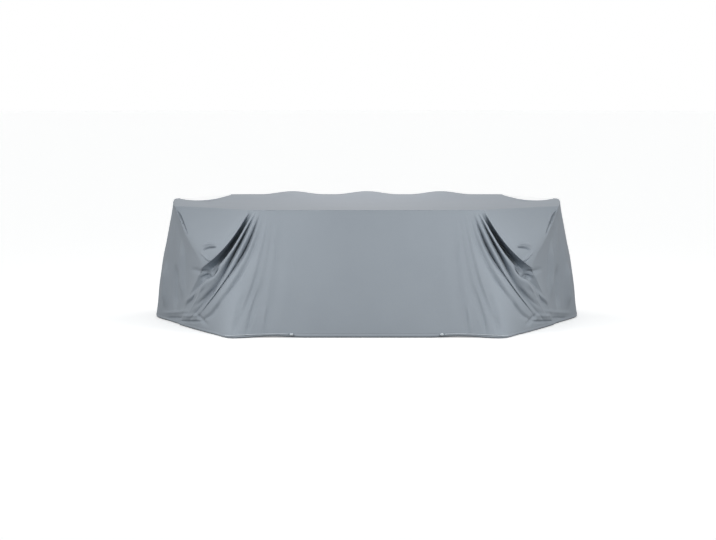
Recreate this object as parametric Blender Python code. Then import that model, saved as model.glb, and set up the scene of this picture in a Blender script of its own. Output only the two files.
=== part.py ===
"""Fitted patio furniture cover in its draped shape, hollow underneath.

A rectangular top panel lies level. Its four corners have nothing under them, so they droop as flaps, and
the skirt sewn round the panel gathers into deep folds beside each flap.
Metres, +Z up. The origin is on the floor under the middle of the cover. -Y is the front, and the folds
are worked out for one half (positive x) and mirrored.
"""
import math

import bmesh
import bpy
from mathutils import Vector
from mathutils.geometry import delaunay_2d_cdt

# Driving sizes
TOP_Z = 0.90             # level of the top panel's edges
SHEET = 0.002            # thickness of the coated cloth
SEAM_GAP = 0.0004        # each panel stays this far back from the seam line
ROWS = 12                # rows of faces from the top edge to the hem
TIP_ROW = 6              # row of the skirt at which a flap's tip hangs
TOP_GRID = 0.13          # spacing of the points inside the top panel
TOP_GRID_REACH = (1.40, 0.86)          # how far that grid goes in x and y
TOP_GRID_CLEAR = 0.45    # share of the spacing that its points keep from the outline
SAME_PLACE = 1e-5        # corners of a face nearer than this are one corner
MERGE = 2e-5             # points nearer than this are one point
SHELL_LIMIT = 1.4        # most that a sharp fold may lengthen the way through the sheet

# Front edge of the top panel, and where the front hem stands
FRONT_Y, FRONT_HEM_Y = -0.93, -1.035
BACK_Y, BACK_HEM_Y = 0.93, 1.03

# Corner posts of the plan: (x, y) at the top edge and at the hem
FRONT_POST_TOP, FRONT_POST_HEM = (0.835, -0.93), (0.985, -1.055)
END_POST_TOP, END_POST_HEM = (1.420, -0.30), (1.615, 0.22)
BACK_POST_TOP, BACK_POST_HEM = (1.080, 0.93), (1.175, 1.045)
FAR_POST_TOP, FAR_POST_HEM = (1.450, 0.53), (1.600, 0.74)
CORNER_BOW = 0.10        # how far the slack corner wall bellies out half way down
HEM_BOW = 0.07           # the same at the hem
SWELL, SWELL_HALF = 0.045, 0.17        # the front and back walls swell beside their posts near the hem
FRONT_SWELL_X, BACK_SWELL_X = 0.94, 1.09
EDGE_BLEND = 0.06        # softness of the turn from a straight wall to a corner wall

# Three rounded supports lift the back edge; the cloth dips a little elsewhere
BUMP_RISE, BUMP_HALF, BUMP_REACH = 0.024, 0.25, 0.34
BUMP_X = (-0.588, 0.0, 0.588)
MIDDLE_SAG = 0.022       # how far the middle of the panel hangs below its edges
SAG_END, SAG_RUN_X, SAG_RUN_Y = 1.45, 0.4, 0.5     # where the sag starts at the ends, and its runs inward
TOP_FORMS = (
    # name       x      y      wide_x wide_y rise
    ("far_dip",  1.30,  0.64,  0.13,  0.25,  -0.036),
    ("end_rise", 1.45,  0.20,  0.05,  0.20,  0.008),
    ("end_fall", 1.42,  -0.32, 0.15,  0.20,  -0.012),
)
TOP_FORM_REACH = 0.25    # share of the height down which the walls follow the top's rises and dips

# Hem: lifted and tucked a little where the drawcord pulls it
HEM_LIFT, HEM_LIFT_X, HEM_LIFT_HALF = 0.008, 0.66, 0.22
HEM_LIFT_FADE = 6        # how quickly the lift fades up the wall, as a power of the way down
ON_FLOOR = 0.0           # nothing reaches lower than this

# Front folds, from the seam of the drooping flap to the middle of the front.
# name, x on the top edge, then x, height and depth at the knee and at the shin, then x at the hem and the
# number of faces across to the next fold. Depth is how far the cloth goes in behind the plain wall.
FRONT_FOLDS = (
    # name            top_x  knee_x knee_z knee_in shin_x shin_z shin_in hem_x  faces
    ("pocket_back",   0.812, 0.984, 0.605, 0.210,  1.205, 0.358, 0.030,  1.398, 1),
    ("pocket_floor",  0.802, 0.955, 0.612, 0.230,  1.182, 0.358, 0.020,  1.384, 2),
    ("ridge_1",       0.793, 0.946, 0.622, -0.012, 1.158, 0.358, 0.000,  1.368, 2),
    ("valley_2",      0.779, 0.926, 0.625, 0.092,  1.092, 0.348, 0.056,  1.352, 2),
    ("ridge_2",       0.764, 0.896, 0.622, -0.004, 1.050, 0.362, 0.000,  1.326, 2),
    ("valley_3",      0.748, 0.866, 0.618, 0.055,  1.028, 0.370, 0.030,  1.302, 2),
    ("ridge_3",       0.733, 0.834, 0.614, 0.000,  0.998, 0.352, 0.000,  1.272, 2),
    ("valley_4",      0.720, 0.808, 0.612, 0.008,  0.978, 0.330, 0.018,  1.236, 2),
    ("ridge_4",       0.708, 0.788, 0.630, -0.004, 0.930, 0.345, -0.010, 1.130, 2),
    ("front_post",    0.697, 0.758, 0.625, 0.000,  0.838, 0.340, 0.000,  0.995, 2),
    ("soft_a",        0.684, 0.738, 0.610, 0.004,  0.822, 0.310, 0.010,  0.950, 2),
    ("swell_a",       0.670, 0.718, 0.600, 0.000,  0.796, 0.295, 0.000,  0.905, 2),
    ("soft_b",        0.655, 0.700, 0.590, 0.005,  0.762, 0.280, 0.011,  0.860, 2),
    ("swell_b",       0.630, 0.665, 0.590, 0.000,  0.715, 0.280, -0.001, 0.775, 2),
    ("soft_c",        0.600, 0.632, 0.580, 0.006,  0.665, 0.270, 0.009,  0.705, 2),
    ("swell_c",       0.540, 0.560, 0.580, 0.000,  0.585, 0.270, -0.002, 0.600, 2),
    ("soft_d",        0.470, 0.490, 0.560, 0.003,  0.500, 0.270, 0.005,  0.510, 2),
    ("swell_d",       0.330, 0.335, 0.560, 0.000,  0.340, 0.270, -0.002, 0.345, 2),
    ("soft_e",        0.180, 0.180, 0.560, 0.001,  0.180, 0.270, 0.003,  0.180, 2),
    ("middle",        0.000, 0.000, 0.560, 0.000,  0.000, 0.270, 0.000,  0.000, 0),
)

# Back folds, in the same columns; the back is plainer
BACK_FOLDS = (
    # name            top_x  knee_x knee_z knee_in shin_x shin_z shin_in hem_x  faces
    ("pocket_back",   1.060, 1.175, 0.700, 0.060,  1.330, 0.400, 0.016,  1.455, 2),
    ("ridge_1",       1.036, 1.140, 0.690, -0.004, 1.270, 0.380, 0.000,  1.420, 2),
    ("valley_2",      1.014, 1.105, 0.680, 0.040,  1.215, 0.370, 0.030,  1.370, 2),
    ("ridge_2",       0.992, 1.070, 0.670, 0.000,  1.160, 0.360, 0.000,  1.300, 2),
    ("valley_3",      0.975, 1.035, 0.660, 0.018,  1.110, 0.350, 0.020,  1.230, 2),
    ("back_post",     0.945, 0.995, 0.650, 0.000,  1.060, 0.340, 0.000,  1.160, 2),
    ("soft_a",        0.900, 0.935, 0.640, 0.006,  0.980, 0.330, 0.010,  1.050, 2),
    ("swell_a",       0.820, 0.845, 0.640, 0.000,  0.870, 0.330, 0.000,  0.910, 2),
    ("soft_b",        0.700, 0.712, 0.630, 0.004,  0.725, 0.320, 0.007,  0.745, 2),
    ("swell_b",       0.560, 0.565, 0.620, 0.000,  0.570, 0.310, -0.002, 0.580, 2),
    ("soft_c",        0.290, 0.290, 0.600, 0.004,  0.290, 0.300, 0.006,  0.290, 2),
    ("middle",        0.000, 0.000, 0.600, 0.000,  0.000, 0.300, 0.000,  0.000, 0),
)

# End wall folds from the front flap's seam to the back flap's seam: x and y at the top edge, at the
# waist and at the hem, and the number of faces across to the next fold
END_FOLDS = (
    # name            top_x  top_y   waist_x waist_y hem_x  hem_y   faces
    ("flap_side",     1.424, -0.278, 1.300,  -0.440, 1.420, -0.205, 2),
    ("hang_1",        1.429, -0.245, 1.352,  -0.310, 1.430, -0.182, 2),
    ("hang_2",        1.435, -0.200, 1.412,  -0.210, 1.448, -0.145, 2),
    ("hang_3",        1.444, -0.135, 1.450,  -0.120, 1.476, -0.080, 2),
    ("hang_4",        1.453, -0.050, 1.508,  -0.010, 1.540, 0.050,  2),
    ("end_post",      1.458, 0.050,  1.538,  0.110,  1.604, 0.195,  2),
    ("hang_5",        1.462, 0.160,  1.555,  0.230,  1.622, 0.310,  2),
    ("hang_6",        1.464, 0.280,  1.550,  0.365,  1.632, 0.440,  2),
    ("hang_7",        1.461, 0.400,  1.552,  0.490,  1.626, 0.580,  2),
    ("far_post",      1.455, 0.505,  1.510,  0.640,  1.590, 0.735,  2),
)
END_WAIST_Z = 0.45

# Drooping flaps: the tip of the top panel's corner, and how the seams beside it run
FRONT_TIP = (1.189, -0.700, 0.470)
FRONT_TIP_SHIN = (1.305, -0.480, 0.231)
FRONT_TIP_HEM = (1.414, -0.222, 0.0)
BACK_TIP = (1.305, 0.770, 0.660)
BACK_TIP_SHIN = (1.400, 0.860, 0.300)
BACK_TIP_HEM = (1.480, 0.850, 0.0)
WALL_SLACK, END_SLACK, BACK_SLACK = 0.062, 0.035, 0.035    # how far a flap's seams bend below a straight line
SEAM_BULGE = 0.06        # how far the front flap's inner seam stands forward of a straight line
SEAM_LEAN = 0.4          # and how much less of that bend is left by the tip
FLAP_STEPS = (0.0, 0.025, 0.05, 0.09, 0.18, 0.34, 0.52, 0.70, 0.86, 1.0)
CREST_INSET = 0.10       # the crest between two supports draws in
CREST_SAG = 0.005        # and sags
BACK_CREST_INSET, BACK_CREST_SAG = 0.06, 0.020
CREST_SKEW = 0.75        # under 1 moves the middle of that bend toward the end wall
FLAP_BELLY = 0.030       # and the flap below it bellies out
BELLY_FULL_AT = 2 / 3    # way down the flap at which it does so most
# Crease beside the end wall's seam: depth, place and half width across, then the way down at which it is
# full, starts to fade and has faded
CREASE_DEPTH, CREASE_AT, CREASE_HALF = 0.014, 0.05, 0.04
CREASE_FULL, CREASE_FADES, CREASE_GONE = 0.25, 0.30, 0.63

# Drawcord and its stop, one of each near either end of the front hem
CORD_DIAMETER = 0.006
CORD_ROUTE = (
    # x, z along the face of the hem, from where it leaves the hem to the stop
    (1.000, 0.016), (0.985, 0.018), (0.950, 0.021), (0.900, 0.023), (0.840, 0.024), (0.780, 0.025),
    (0.720, 0.026), (0.660, 0.027), (0.610, 0.027), (0.575, 0.026), (0.558, 0.025),
)
CORD_STEP = 0.016
CORD_CLEARANCE = 0.0024
STOP_LENGTH, STOP_RADIUS = 0.024, 0.010
STOP_X, STOP_Z = 0.545, 0.025
STOP_SIDES = 12
STOP_PROFILE = (
    # along the stop as a share of its length, then the share of its radius
    (-0.50, 0.55), (-0.42, 0.80), (-0.22, 0.98), (0.00, 1.00), (0.22, 0.98), (0.42, 0.80), (0.50, 0.55),
)

SIDES = (("left", -1.0), ("right", 1.0))

CLOTH_COLOUR = (0.345, 0.385, 0.425, 1.0)
CORD_COLOUR = (0.58, 0.62, 0.66, 1.0)
STOP_COLOUR = (0.66, 0.70, 0.73, 1.0)


def lerp(a, b, t):
    return a + (b - a) * t


def ease(t):
    return 0.5 - 0.5 * math.cos(math.pi * min(max(t, 0.0), 1.0))


def smooth_max(a, b, width):
    t = min(max(0.5 + 0.5 * (a - b) / width, 0.0), 1.0)
    return lerp(b, a, t) + width * t * (1.0 - t)


def spline(points, t):
    """A smooth curve through the points, t measured along their chords."""
    lengths = [0.0]
    for a, b in zip(points, points[1:]):
        lengths.append(lengths[-1] + (b - a).length)
    s = t * lengths[-1]
    i = max(k for k in range(len(points) - 1) if lengths[k] <= s or k == 0)

    def tangent(k):
        lo, hi = max(k - 1, 0), min(k + 1, len(points) - 1)
        return (points[hi] - points[lo]) / (lengths[hi] - lengths[lo])

    span = lengths[i + 1] - lengths[i]
    u = (s - lengths[i]) / span
    h1, h2 = 2 * u**3 - 3 * u**2 + 1, -2 * u**3 + 3 * u**2
    h3, h4 = u**3 - 2 * u**2 + u, u**3 - u**2
    return h1 * points[i] + h2 * points[i + 1] + span * (h3 * tangent(i) + h4 * tangent(i + 1))


def top_height(x, y):
    """Level of the top panel."""
    rise = 0.0
    for centre in BUMP_X:
        across = 1.0 - ease(abs(x - centre) / BUMP_HALF)
        rise += BUMP_RISE * across * (1.0 - ease((BACK_Y - y) / BUMP_REACH))
    for _, form_x, form_y, wide_x, wide_y, height in TOP_FORMS:
        rise += height * math.exp(-(((abs(x) - form_x) / wide_x) ** 2) - ((y - form_y) / wide_y) ** 2)
    inner = ease((BACK_Y - abs(y)) / SAG_RUN_Y) * ease((SAG_END - abs(x)) / SAG_RUN_X)
    return TOP_Z + rise - MIDDLE_SAG * inner


def on_top(x, y):
    return Vector((x, y, top_height(x, y)))


def corner_wall(x, z, near_top, near_hem, far_top, far_hem, wall_top, wall_hem, facing):
    """y of the plain wall at (x, z): a straight wall that turns into a slanted corner wall."""
    drop = 1.0 - z / TOP_Z
    near = [lerp(a, b, drop) for a, b in zip(near_top, near_hem)]
    far = [lerp(a, b, drop) for a, b in zip(far_top, far_hem)]
    straight = facing * lerp(wall_top, wall_hem, drop)
    q = (x - near[0]) / (far[0] - near[0])
    bow = CORNER_BOW * math.sin(math.pi * min(max(drop, 0.0), 1.0)) + HEM_BOW * drop
    belly = 4.0 * q * (1.0 - q) if q > 0.0 else 4.0 * q / (1.0 - 4.0 * q)
    slanted = facing * lerp(near[1], far[1], q) - bow * belly
    return facing * smooth_max(straight, slanted, EDGE_BLEND)


def swell(x, z, centre):
    return SWELL * (1.0 - ease(abs(x - centre) / SWELL_HALF)) * (1.0 - z / TOP_Z) ** 4


def front_wall(x, z):
    return corner_wall(x, z, FRONT_POST_TOP, FRONT_POST_HEM, END_POST_TOP, END_POST_HEM,
                       FRONT_Y, FRONT_HEM_Y, 1.0) - swell(x, z, FRONT_SWELL_X)


def back_wall(x, z):
    return corner_wall(x, z, BACK_POST_TOP, BACK_POST_HEM, FAR_POST_TOP, FAR_POST_HEM,
                       BACK_Y, BACK_HEM_Y, -1.0) + swell(x, z, BACK_SWELL_X)


def hem_lift(x):
    return HEM_LIFT * (1.0 - ease(abs(x - HEM_LIFT_X) / HEM_LIFT_HALF))


def fold_line(fold, row):
    """(x, height, depth) of a front or back fold at a row."""
    _, top_x, knee_x, knee_z, knee_in, shin_x, shin_z, shin_in, hem_x, _ = fold
    points = [Vector(p) for p in ((top_x, TOP_Z, 0), (knee_x, knee_z, 0), (shin_x, shin_z, 0), (hem_x, 0, 0))]
    t = row / ROWS
    place = spline(points, t)
    length = sum((b - a).length for a, b in zip(points, points[1:]))
    knee_t = (points[1] - points[0]).length / length
    shin_t = knee_t + (points[2] - points[1]).length / length
    if t < knee_t:
        depth = knee_in * ease(t / knee_t)
    elif t < shin_t:
        depth = lerp(knee_in, shin_in, ease((t - knee_t) / (shin_t - knee_t)))
    else:
        depth = shin_in * (1.0 - ease((t - shin_t) / (1.0 - shin_t)))
    return place.x, place.y, depth


def wall_point(x, z, depth, wall, facing, row):
    """A point of the front or back wall; the top row follows the top panel's level."""
    y = wall(x, z) + facing * depth
    if row == 0:
        return on_top(x, y)
    keep = 1.0 - z / TOP_Z
    lift = hem_lift(x) * keep**HEM_LIFT_FADE if facing > 0 else 0.0
    rise = (top_height(x, facing * FRONT_Y) - TOP_Z) * (1.0 - ease(keep / TOP_FORM_REACH))
    return Vector((x, y, z + lift + rise))


def seam_point(start, tip, slack, bulge, row):
    """A flap's seam, from its support down to the tip."""
    t = row / TIP_ROW
    place = start.lerp(tip, t)
    place.z -= slack * 4.0 * t * (1.0 - t) * (1.0 - SEAM_LEAN * t)
    place.y -= bulge * 4.0 * t * (1.0 - t)
    return place


def tip_point(tip, shin, hem, row):
    """From the tip of a flap down to the hem."""
    t = (row - TIP_ROW) / (ROWS - TIP_ROW)
    return spline([Vector(tip), Vector(shin), Vector(hem)], t)


def seam_column(start, tip, shin, hem, slack, bulge=0.0):
    upper = [seam_point(start, Vector(tip), slack, bulge, row) for row in range(TIP_ROW)]
    return upper + [tip_point(tip, shin, hem, row) for row in range(TIP_ROW, ROWS + 1)]


def wall_columns(folds, wall, facing, seam):
    """Columns of points from a flap's seam to the middle of the front or back."""
    first_fold = [wall_point(*fold_line(folds[0], row), wall, facing, row) for row in range(ROWS + 1)]
    columns = [seam, [a.lerp(b, 0.5) for a, b in zip(seam, first_fold)]]
    for fold, following in zip(folds, folds[1:]):
        for step in range(fold[-1]):
            t = step / fold[-1]
            column = []
            for row in range(ROWS + 1):
                x0, z0, in0 = fold_line(fold, row)
                x1, z1, in1 = fold_line(following, row)
                column.append(wall_point(lerp(x0, x1, t), lerp(z0, z1, t), lerp(in0, in1, ease(t)),
                                         wall, facing, row))
            columns.append(column)
    columns.append([wall_point(*fold_line(folds[-1], row), wall, facing, row) for row in range(ROWS + 1)])
    return columns


def end_columns(near_seam, far_seam):
    """Columns of points across an end wall, from the front flap's seam to the back flap's."""
    lines = [near_seam]
    for _, top_x, top_y, waist_x, waist_y, hem_x, hem_y, _ in END_FOLDS:
        ends = [on_top(top_x, top_y), Vector((waist_x, waist_y, END_WAIST_Z)), Vector((hem_x, hem_y, 0.0))]
        lines.append([spline(ends, row / ROWS) for row in range(ROWS + 1)])
    lines.append(far_seam)
    faces = [2] + [fold[-1] for fold in END_FOLDS]
    columns = []
    for i, count in enumerate(faces):
        before, after = max(i - 1, 0), min(i + 2, len(lines) - 1)
        for step in range(count):
            t = step / count
            column = []
            for row in range(ROWS + 1):
                a, b = lines[i][row], lines[i + 1][row]
                lean_a = (b - lines[before][row]) / (i + 1 - before)
                lean_b = (lines[after][row] - a) / (after - i)
                h3, h4 = t**3 - 2 * t**2 + t, t**3 - t**2
                column.append(a.lerp(b, 3 * t**2 - 2 * t**3) + h3 * lean_a + h4 * lean_b)
            columns.append(column)
    columns.append(far_seam)
    return columns


def flap_rows(side_seam, wall_seam, inset, crest_sag, crease):
    """Rows of points across a drooping flap, from the crest down to its tip."""
    across = (wall_seam[0] - side_seam[0]).normalized()
    outward = across.cross(Vector((0.0, 0.0, 1.0)))
    if outward.x < 0.0:
        outward.negate()
    rows = []
    for row in range(TIP_ROW):
        t = row / TIP_ROW
        belly = lerp(-inset, FLAP_BELLY, 1.0 - (1.0 - min(t / BELLY_FULL_AT, 1.0)) ** 2) * (1.0 - t**3)
        sag = crest_sag * (1.0 - t)
        fade = ease(t / CREASE_FULL) * (1.0 - ease((t - CREASE_FADES) / (CREASE_GONE - CREASE_FADES)))
        points = []
        for s in FLAP_STEPS:
            skewed = s**CREST_SKEW
            arch = 4.0 * skewed * (1.0 - skewed)
            groove = crease * fade * (1.0 - ease(abs(s - CREASE_AT) / CREASE_HALF))
            place = side_seam[row].lerp(wall_seam[row], s) + outward * (belly * arch - groove)
            place.z -= sag * arch
            points.append(place)
        rows.append(points)
    return rows


class Surface:
    """The cover's outer surface, as faces that belong to the top panel or to the skirt."""

    def __init__(self):
        self.mesh = bmesh.new()
        self.panel = self.mesh.faces.layers.int.new("panel")

    def face(self, points, panel):
        corners = []
        for point in points:
            if not corners or (point - corners[-1].co).length > SAME_PLACE:
                corners.append(self.mesh.verts.new(point))
        if (corners[0].co - corners[-1].co).length <= SAME_PLACE:
            self.mesh.verts.remove(corners.pop())
        if len(corners) >= 3:
            self.mesh.faces.new(corners)[self.panel] = panel

    def both_sides(self, points, panel):
        self.face(points, panel)
        self.face([Vector((-p.x, p.y, p.z)) for p in reversed(points)], panel)

    def close(self):
        bmesh.ops.remove_doubles(self.mesh, verts=self.mesh.verts, dist=MERGE)
        bmesh.ops.recalc_face_normals(self.mesh, faces=self.mesh.faces)
        self.mesh.faces.ensure_lookup_table()
        highest = max(self.mesh.faces, key=lambda f: f.calc_center_median().z)
        if highest.normal.z < 0.0:
            bmesh.ops.reverse_faces(self.mesh, faces=self.mesh.faces)
        bmesh.ops.triangulate(self.mesh, faces=self.mesh.faces)
        self.mesh.normal_update()
        self.mesh.verts.index_update()


TOP_PANEL, SKIRT = 0, 1


def cover_surface():
    surface = Surface()
    wall_corner = on_top(FRONT_POST_TOP[0], front_wall(FRONT_POST_TOP[0], TOP_Z))
    end_corner = on_top(*END_POST_TOP)
    far_corner = on_top(*FAR_POST_TOP)
    back_corner = on_top(BACK_POST_TOP[0], back_wall(BACK_POST_TOP[0], TOP_Z))
    front_seam = seam_column(wall_corner, FRONT_TIP, FRONT_TIP_SHIN, FRONT_TIP_HEM, WALL_SLACK, SEAM_BULGE)
    near_seam = seam_column(end_corner, FRONT_TIP, FRONT_TIP_SHIN, FRONT_TIP_HEM, END_SLACK)
    far_seam = seam_column(far_corner, BACK_TIP, BACK_TIP_SHIN, BACK_TIP_HEM, BACK_SLACK)
    back_seam = seam_column(back_corner, BACK_TIP, BACK_TIP_SHIN, BACK_TIP_HEM, BACK_SLACK)

    front = wall_columns(FRONT_FOLDS, front_wall, 1.0, front_seam)
    ends = end_columns(near_seam, far_seam)
    back = wall_columns(BACK_FOLDS, back_wall, -1.0, back_seam)
    for columns in (list(reversed(front)), ends, back):
        for a, b in zip(columns, columns[1:]):
            for row in range(ROWS):
                surface.both_sides((a[row], b[row], b[row + 1], a[row + 1]), SKIRT)

    crests = []
    flaps = ((near_seam, front_seam, FRONT_TIP, CREST_INSET, CREST_SAG, CREASE_DEPTH),
             (far_seam, back_seam, BACK_TIP, BACK_CREST_INSET, BACK_CREST_SAG, 0.0))
    for side_seam, wall_seam, tip, inset, sag, crease in flaps:
        rows = flap_rows(side_seam, wall_seam, inset, sag, crease)
        crests.append(rows[0])
        for upper, lower in zip(rows, rows[1:]):
            for i in range(len(upper) - 1):
                surface.both_sides((upper[i], lower[i], lower[i + 1], upper[i + 1]), TOP_PANEL)
        for i in range(len(FLAP_STEPS) - 1):
            surface.both_sides((rows[-1][i], Vector(tip), rows[-1][i + 1]), TOP_PANEL)

    # The level part of the top panel: its outline, and a grid of points inside
    half = [column[0] for column in reversed(front)]
    half += list(reversed(crests[0]))[1:]
    half += [column[0] for column in ends[1:]]
    half += crests[1][1:]
    half += [column[0] for column in back[1:]]
    outline = half + [Vector((-p.x, p.y, p.z)) for p in reversed(half[1:-1])]
    inside = []
    nx, ny = (round(reach / TOP_GRID) for reach in TOP_GRID_REACH)
    for i in range(-nx, nx + 1):
        for j in range(-ny, ny + 1):
            x, y = i * TOP_GRID, j * TOP_GRID
            if clear_of(outline, x, y, TOP_GRID_CLEAR * TOP_GRID):
                inside.append(on_top(x, y))
    points = outline + inside
    edges = [(i, (i + 1) % len(outline)) for i in range(len(outline))]
    _, _, triangles, origin, _, _ = delaunay_2d_cdt([p.xy for p in points], edges, [], 1, 1e-6)
    for triangle in triangles:
        surface.face([points[origin[i][0]] for i in triangle], TOP_PANEL)
    surface.close()
    return surface


def clear_of(outline, x, y, gap):
    """Whether (x, y) lies inside the outline, at least the gap from it."""
    inside = False
    place = Vector((x, y))
    for a, b in zip(outline, outline[1:] + outline[:1]):
        along = b.xy - a.xy
        t = min(max((place - a.xy).dot(along) / along.length_squared, 0.0), 1.0)
        if (a.xy + along * t - place).length < gap:
            return False
        if (a.y > y) != (b.y > y) and x < lerp(a.x, b.x, (y - a.y) / (b.y - a.y)):
            inside = not inside
    return inside


def sheet_object(name, surface, panel, material):
    """One panel of the surface as a closed sheet, with its thickness on the inside."""
    layer = surface.panel
    source = [f for f in surface.mesh.faces if f[layer] == panel]
    solid = bmesh.new()
    outer, inner = {}, {}
    for face in source:
        for v in face.verts:
            if v in outer:
                continue
            own = [f for f in v.link_faces if f[layer] == panel]
            place = v.co.copy()
            if len(own) < len(v.link_faces):
                pull = sum((f.calc_center_median() - v.co for f in own), Vector())
                pull -= v.normal * pull.dot(v.normal)
                place += pull.normalized() * SEAM_GAP
            outer[v] = solid.verts.new(place)
            under = place - v.normal * SHEET * min(v.calc_shell_factor(), SHELL_LIMIT)
            under.z = max(under.z, min(place.z, ON_FLOOR))
            inner[v] = solid.verts.new(under)
    for face in source:
        solid.faces.new([outer[v] for v in face.verts])
        solid.faces.new([inner[v] for v in reversed(face.verts)])
    for face in source:
        for loop in face.loops:
            if any(f is not face and f[layer] == panel for f in loop.edge.link_faces):
                continue
            a, b = loop.vert, loop.link_loop_next.vert
            if a.index < b.index:      # both panels split the strip along a seam the same way
                solid.faces.new((outer[b], outer[a], inner[a]))
                solid.faces.new((outer[b], inner[a], inner[b]))
            else:
                solid.faces.new((outer[b], outer[a], inner[b]))
                solid.faces.new((outer[a], inner[a], inner[b]))
    return add_object(name, solid, material)


def add_object(name, solid, material):
    mesh = bpy.data.meshes.new(name)
    solid.to_mesh(mesh)
    solid.free()
    mesh.materials.append(material)
    mesh.shade_smooth()
    mesh.set_sharp_from_angle(angle=math.radians(50.0))
    thing = bpy.data.objects.new(name, mesh)
    bpy.context.scene.collection.objects.link(thing)
    return thing


def plain_material(name, colour, roughness):
    material = bpy.data.materials.new(name)
    material.use_nodes = True
    shader = material.node_tree.nodes["Principled BSDF"]
    shader.inputs["Base Color"].default_value = colour
    shader.inputs["Roughness"].default_value = roughness
    shader.inputs["Metallic"].default_value = 0.0
    return material


def off_the_hem(x, z, distance):
    """A point a distance in front of the cloth of the front hem, square to it."""
    run = 0.01
    slope = (front_wall(x + run, z) - front_wall(x - run, z)) / (2 * run)
    out = Vector((slope, -1.0, 0.0)).normalized()
    return Vector((x, front_wall(x, z), z)) + out * distance


def drawcord(name, side, material):
    """The stretch of drawcord that shows along the hem."""
    guide = [off_the_hem(x, z, CORD_DIAMETER / 2 + CORD_CLEARANCE) for x, z in CORD_ROUTE]
    length = sum((b - a).length for a, b in zip(guide, guide[1:]))
    count = round(length / CORD_STEP)
    curve = bpy.data.curves.new(name, "CURVE")
    curve.dimensions = "3D"
    curve.bevel_depth = CORD_DIAMETER / 2
    curve.bevel_resolution = 2
    curve.use_fill_caps = True
    line = curve.splines.new("POLY")
    line.points.add(count)
    for i in range(count + 1):
        place = spline(guide, i / count)
        line.points[i].co = (side * place.x, place.y, place.z, 1.0)
    curve.materials.append(material)
    thing = bpy.data.objects.new(name, curve)
    bpy.context.scene.collection.objects.link(thing)
    return thing


def cord_stop(name, side, material):
    """The barrel-shaped stop on the end of the drawcord."""
    solid = bmesh.new()
    rings = []
    for along, width in STOP_PROFILE:
        ring = []
        for i in range(STOP_SIDES):
            angle = 2.0 * math.pi * i / STOP_SIDES
            ring.append(solid.verts.new((along * STOP_LENGTH, width * STOP_RADIUS * math.cos(angle),
                                         width * STOP_RADIUS * math.sin(angle))))
        rings.append(ring)
    for ring, following in zip(rings, rings[1:]):
        for i in range(STOP_SIDES):
            k = (i + 1) % STOP_SIDES
            solid.faces.new((ring[i], ring[k], following[k], following[i]))
    solid.faces.new(list(reversed(rings[0])))
    solid.faces.new(rings[-1])
    bmesh.ops.recalc_face_normals(solid, faces=solid.faces)
    thing = add_object(name, solid, material)
    place = off_the_hem(STOP_X - STOP_LENGTH / 2, STOP_Z, STOP_RADIUS + CORD_CLEARANCE)
    thing.location = (side * place.x, place.y, place.z)
    return thing


def build():
    for thing in list(bpy.data.objects):
        bpy.data.objects.remove(thing, do_unlink=True)
    cloth = plain_material("coated_cloth", CLOTH_COLOUR, 0.75)
    cord = plain_material("cord", CORD_COLOUR, 0.7)
    plastic = plain_material("stop_plastic", STOP_COLOUR, 0.4)
    surface = cover_surface()
    sheet_object("top_panel", surface, TOP_PANEL, cloth)
    sheet_object("skirt", surface, SKIRT, cloth)
    surface.mesh.free()
    for label, side in SIDES:
        drawcord(f"drawcord_{label}", side, cord)
        cord_stop(f"cord_stop_{label}", side, plastic)


build()
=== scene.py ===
"""Looks of a fitted patio furniture cover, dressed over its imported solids.

The cover is one thin woven top panel and one skirt sewn round it. Both are laid on the same forms as the
solids and folded finer. One half is worked out for positive x and mirrored, -Y is the front, metres, +Z up.
"""
import math

import bmesh
import bpy
import numpy as np
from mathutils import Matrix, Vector, noise
from mathutils.geometry import delaunay_2d_cdt


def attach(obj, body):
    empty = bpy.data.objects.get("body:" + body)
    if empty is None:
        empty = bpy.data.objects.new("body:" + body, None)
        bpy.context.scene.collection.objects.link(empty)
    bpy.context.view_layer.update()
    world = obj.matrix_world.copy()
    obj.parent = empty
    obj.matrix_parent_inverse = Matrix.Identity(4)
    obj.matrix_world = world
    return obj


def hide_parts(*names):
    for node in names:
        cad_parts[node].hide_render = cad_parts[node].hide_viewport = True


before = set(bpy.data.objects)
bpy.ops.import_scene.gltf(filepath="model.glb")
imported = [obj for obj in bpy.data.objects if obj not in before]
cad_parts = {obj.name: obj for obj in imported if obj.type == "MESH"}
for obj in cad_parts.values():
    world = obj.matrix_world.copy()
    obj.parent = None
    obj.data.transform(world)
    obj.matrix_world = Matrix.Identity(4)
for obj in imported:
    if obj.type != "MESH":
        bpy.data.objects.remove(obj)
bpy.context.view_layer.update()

# ---------------- camera and studio sizes
CAMERA_PLACE = (0.0, -16.47, 1.959)
CAMERA_DIP = 5.46            # degrees below level
CAMERA_LENS = 110.1
PICTURE_WIDTH = 716
MIDDLE_PIXEL = 366.7         # the cover's middle in the photograph's frame

SUNS = (
    # name          across height power softness
    ("behind",      180.0, 62.0,  0.45, 50.0),
    ("side_left",   -90.0, 10.0,  0.80, 30.0),
    ("side_right",  90.0,  10.0,  0.80, 30.0),
)
LANTERNS = (
    # name            place             radius power  colour
    ("front_left",    (-1.75, -2.8, 1.15), 0.40, 95.0, (1.0, 1.0, 1.0)),
    ("front_right",   (1.75, -2.8, 1.15),  0.40, 95.0, (1.0, 1.0, 1.0)),
    ("over_top",      (0.0, 1.2, 2.5),     0.70, 56.0, (1.0, 0.92, 0.90)),
)
ROOM_LIGHT = 0.44
FLOOR_GLOW = 0.385
FLOOR_BOUNCE = 0.20          # how pale the floor is as a reflector
FLOOR_RADIUS, DOME_RADIUS = 70.0, 90.0
FLOOR_LEVEL, REFLECTOR_LEVEL = -0.001, -0.004

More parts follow.
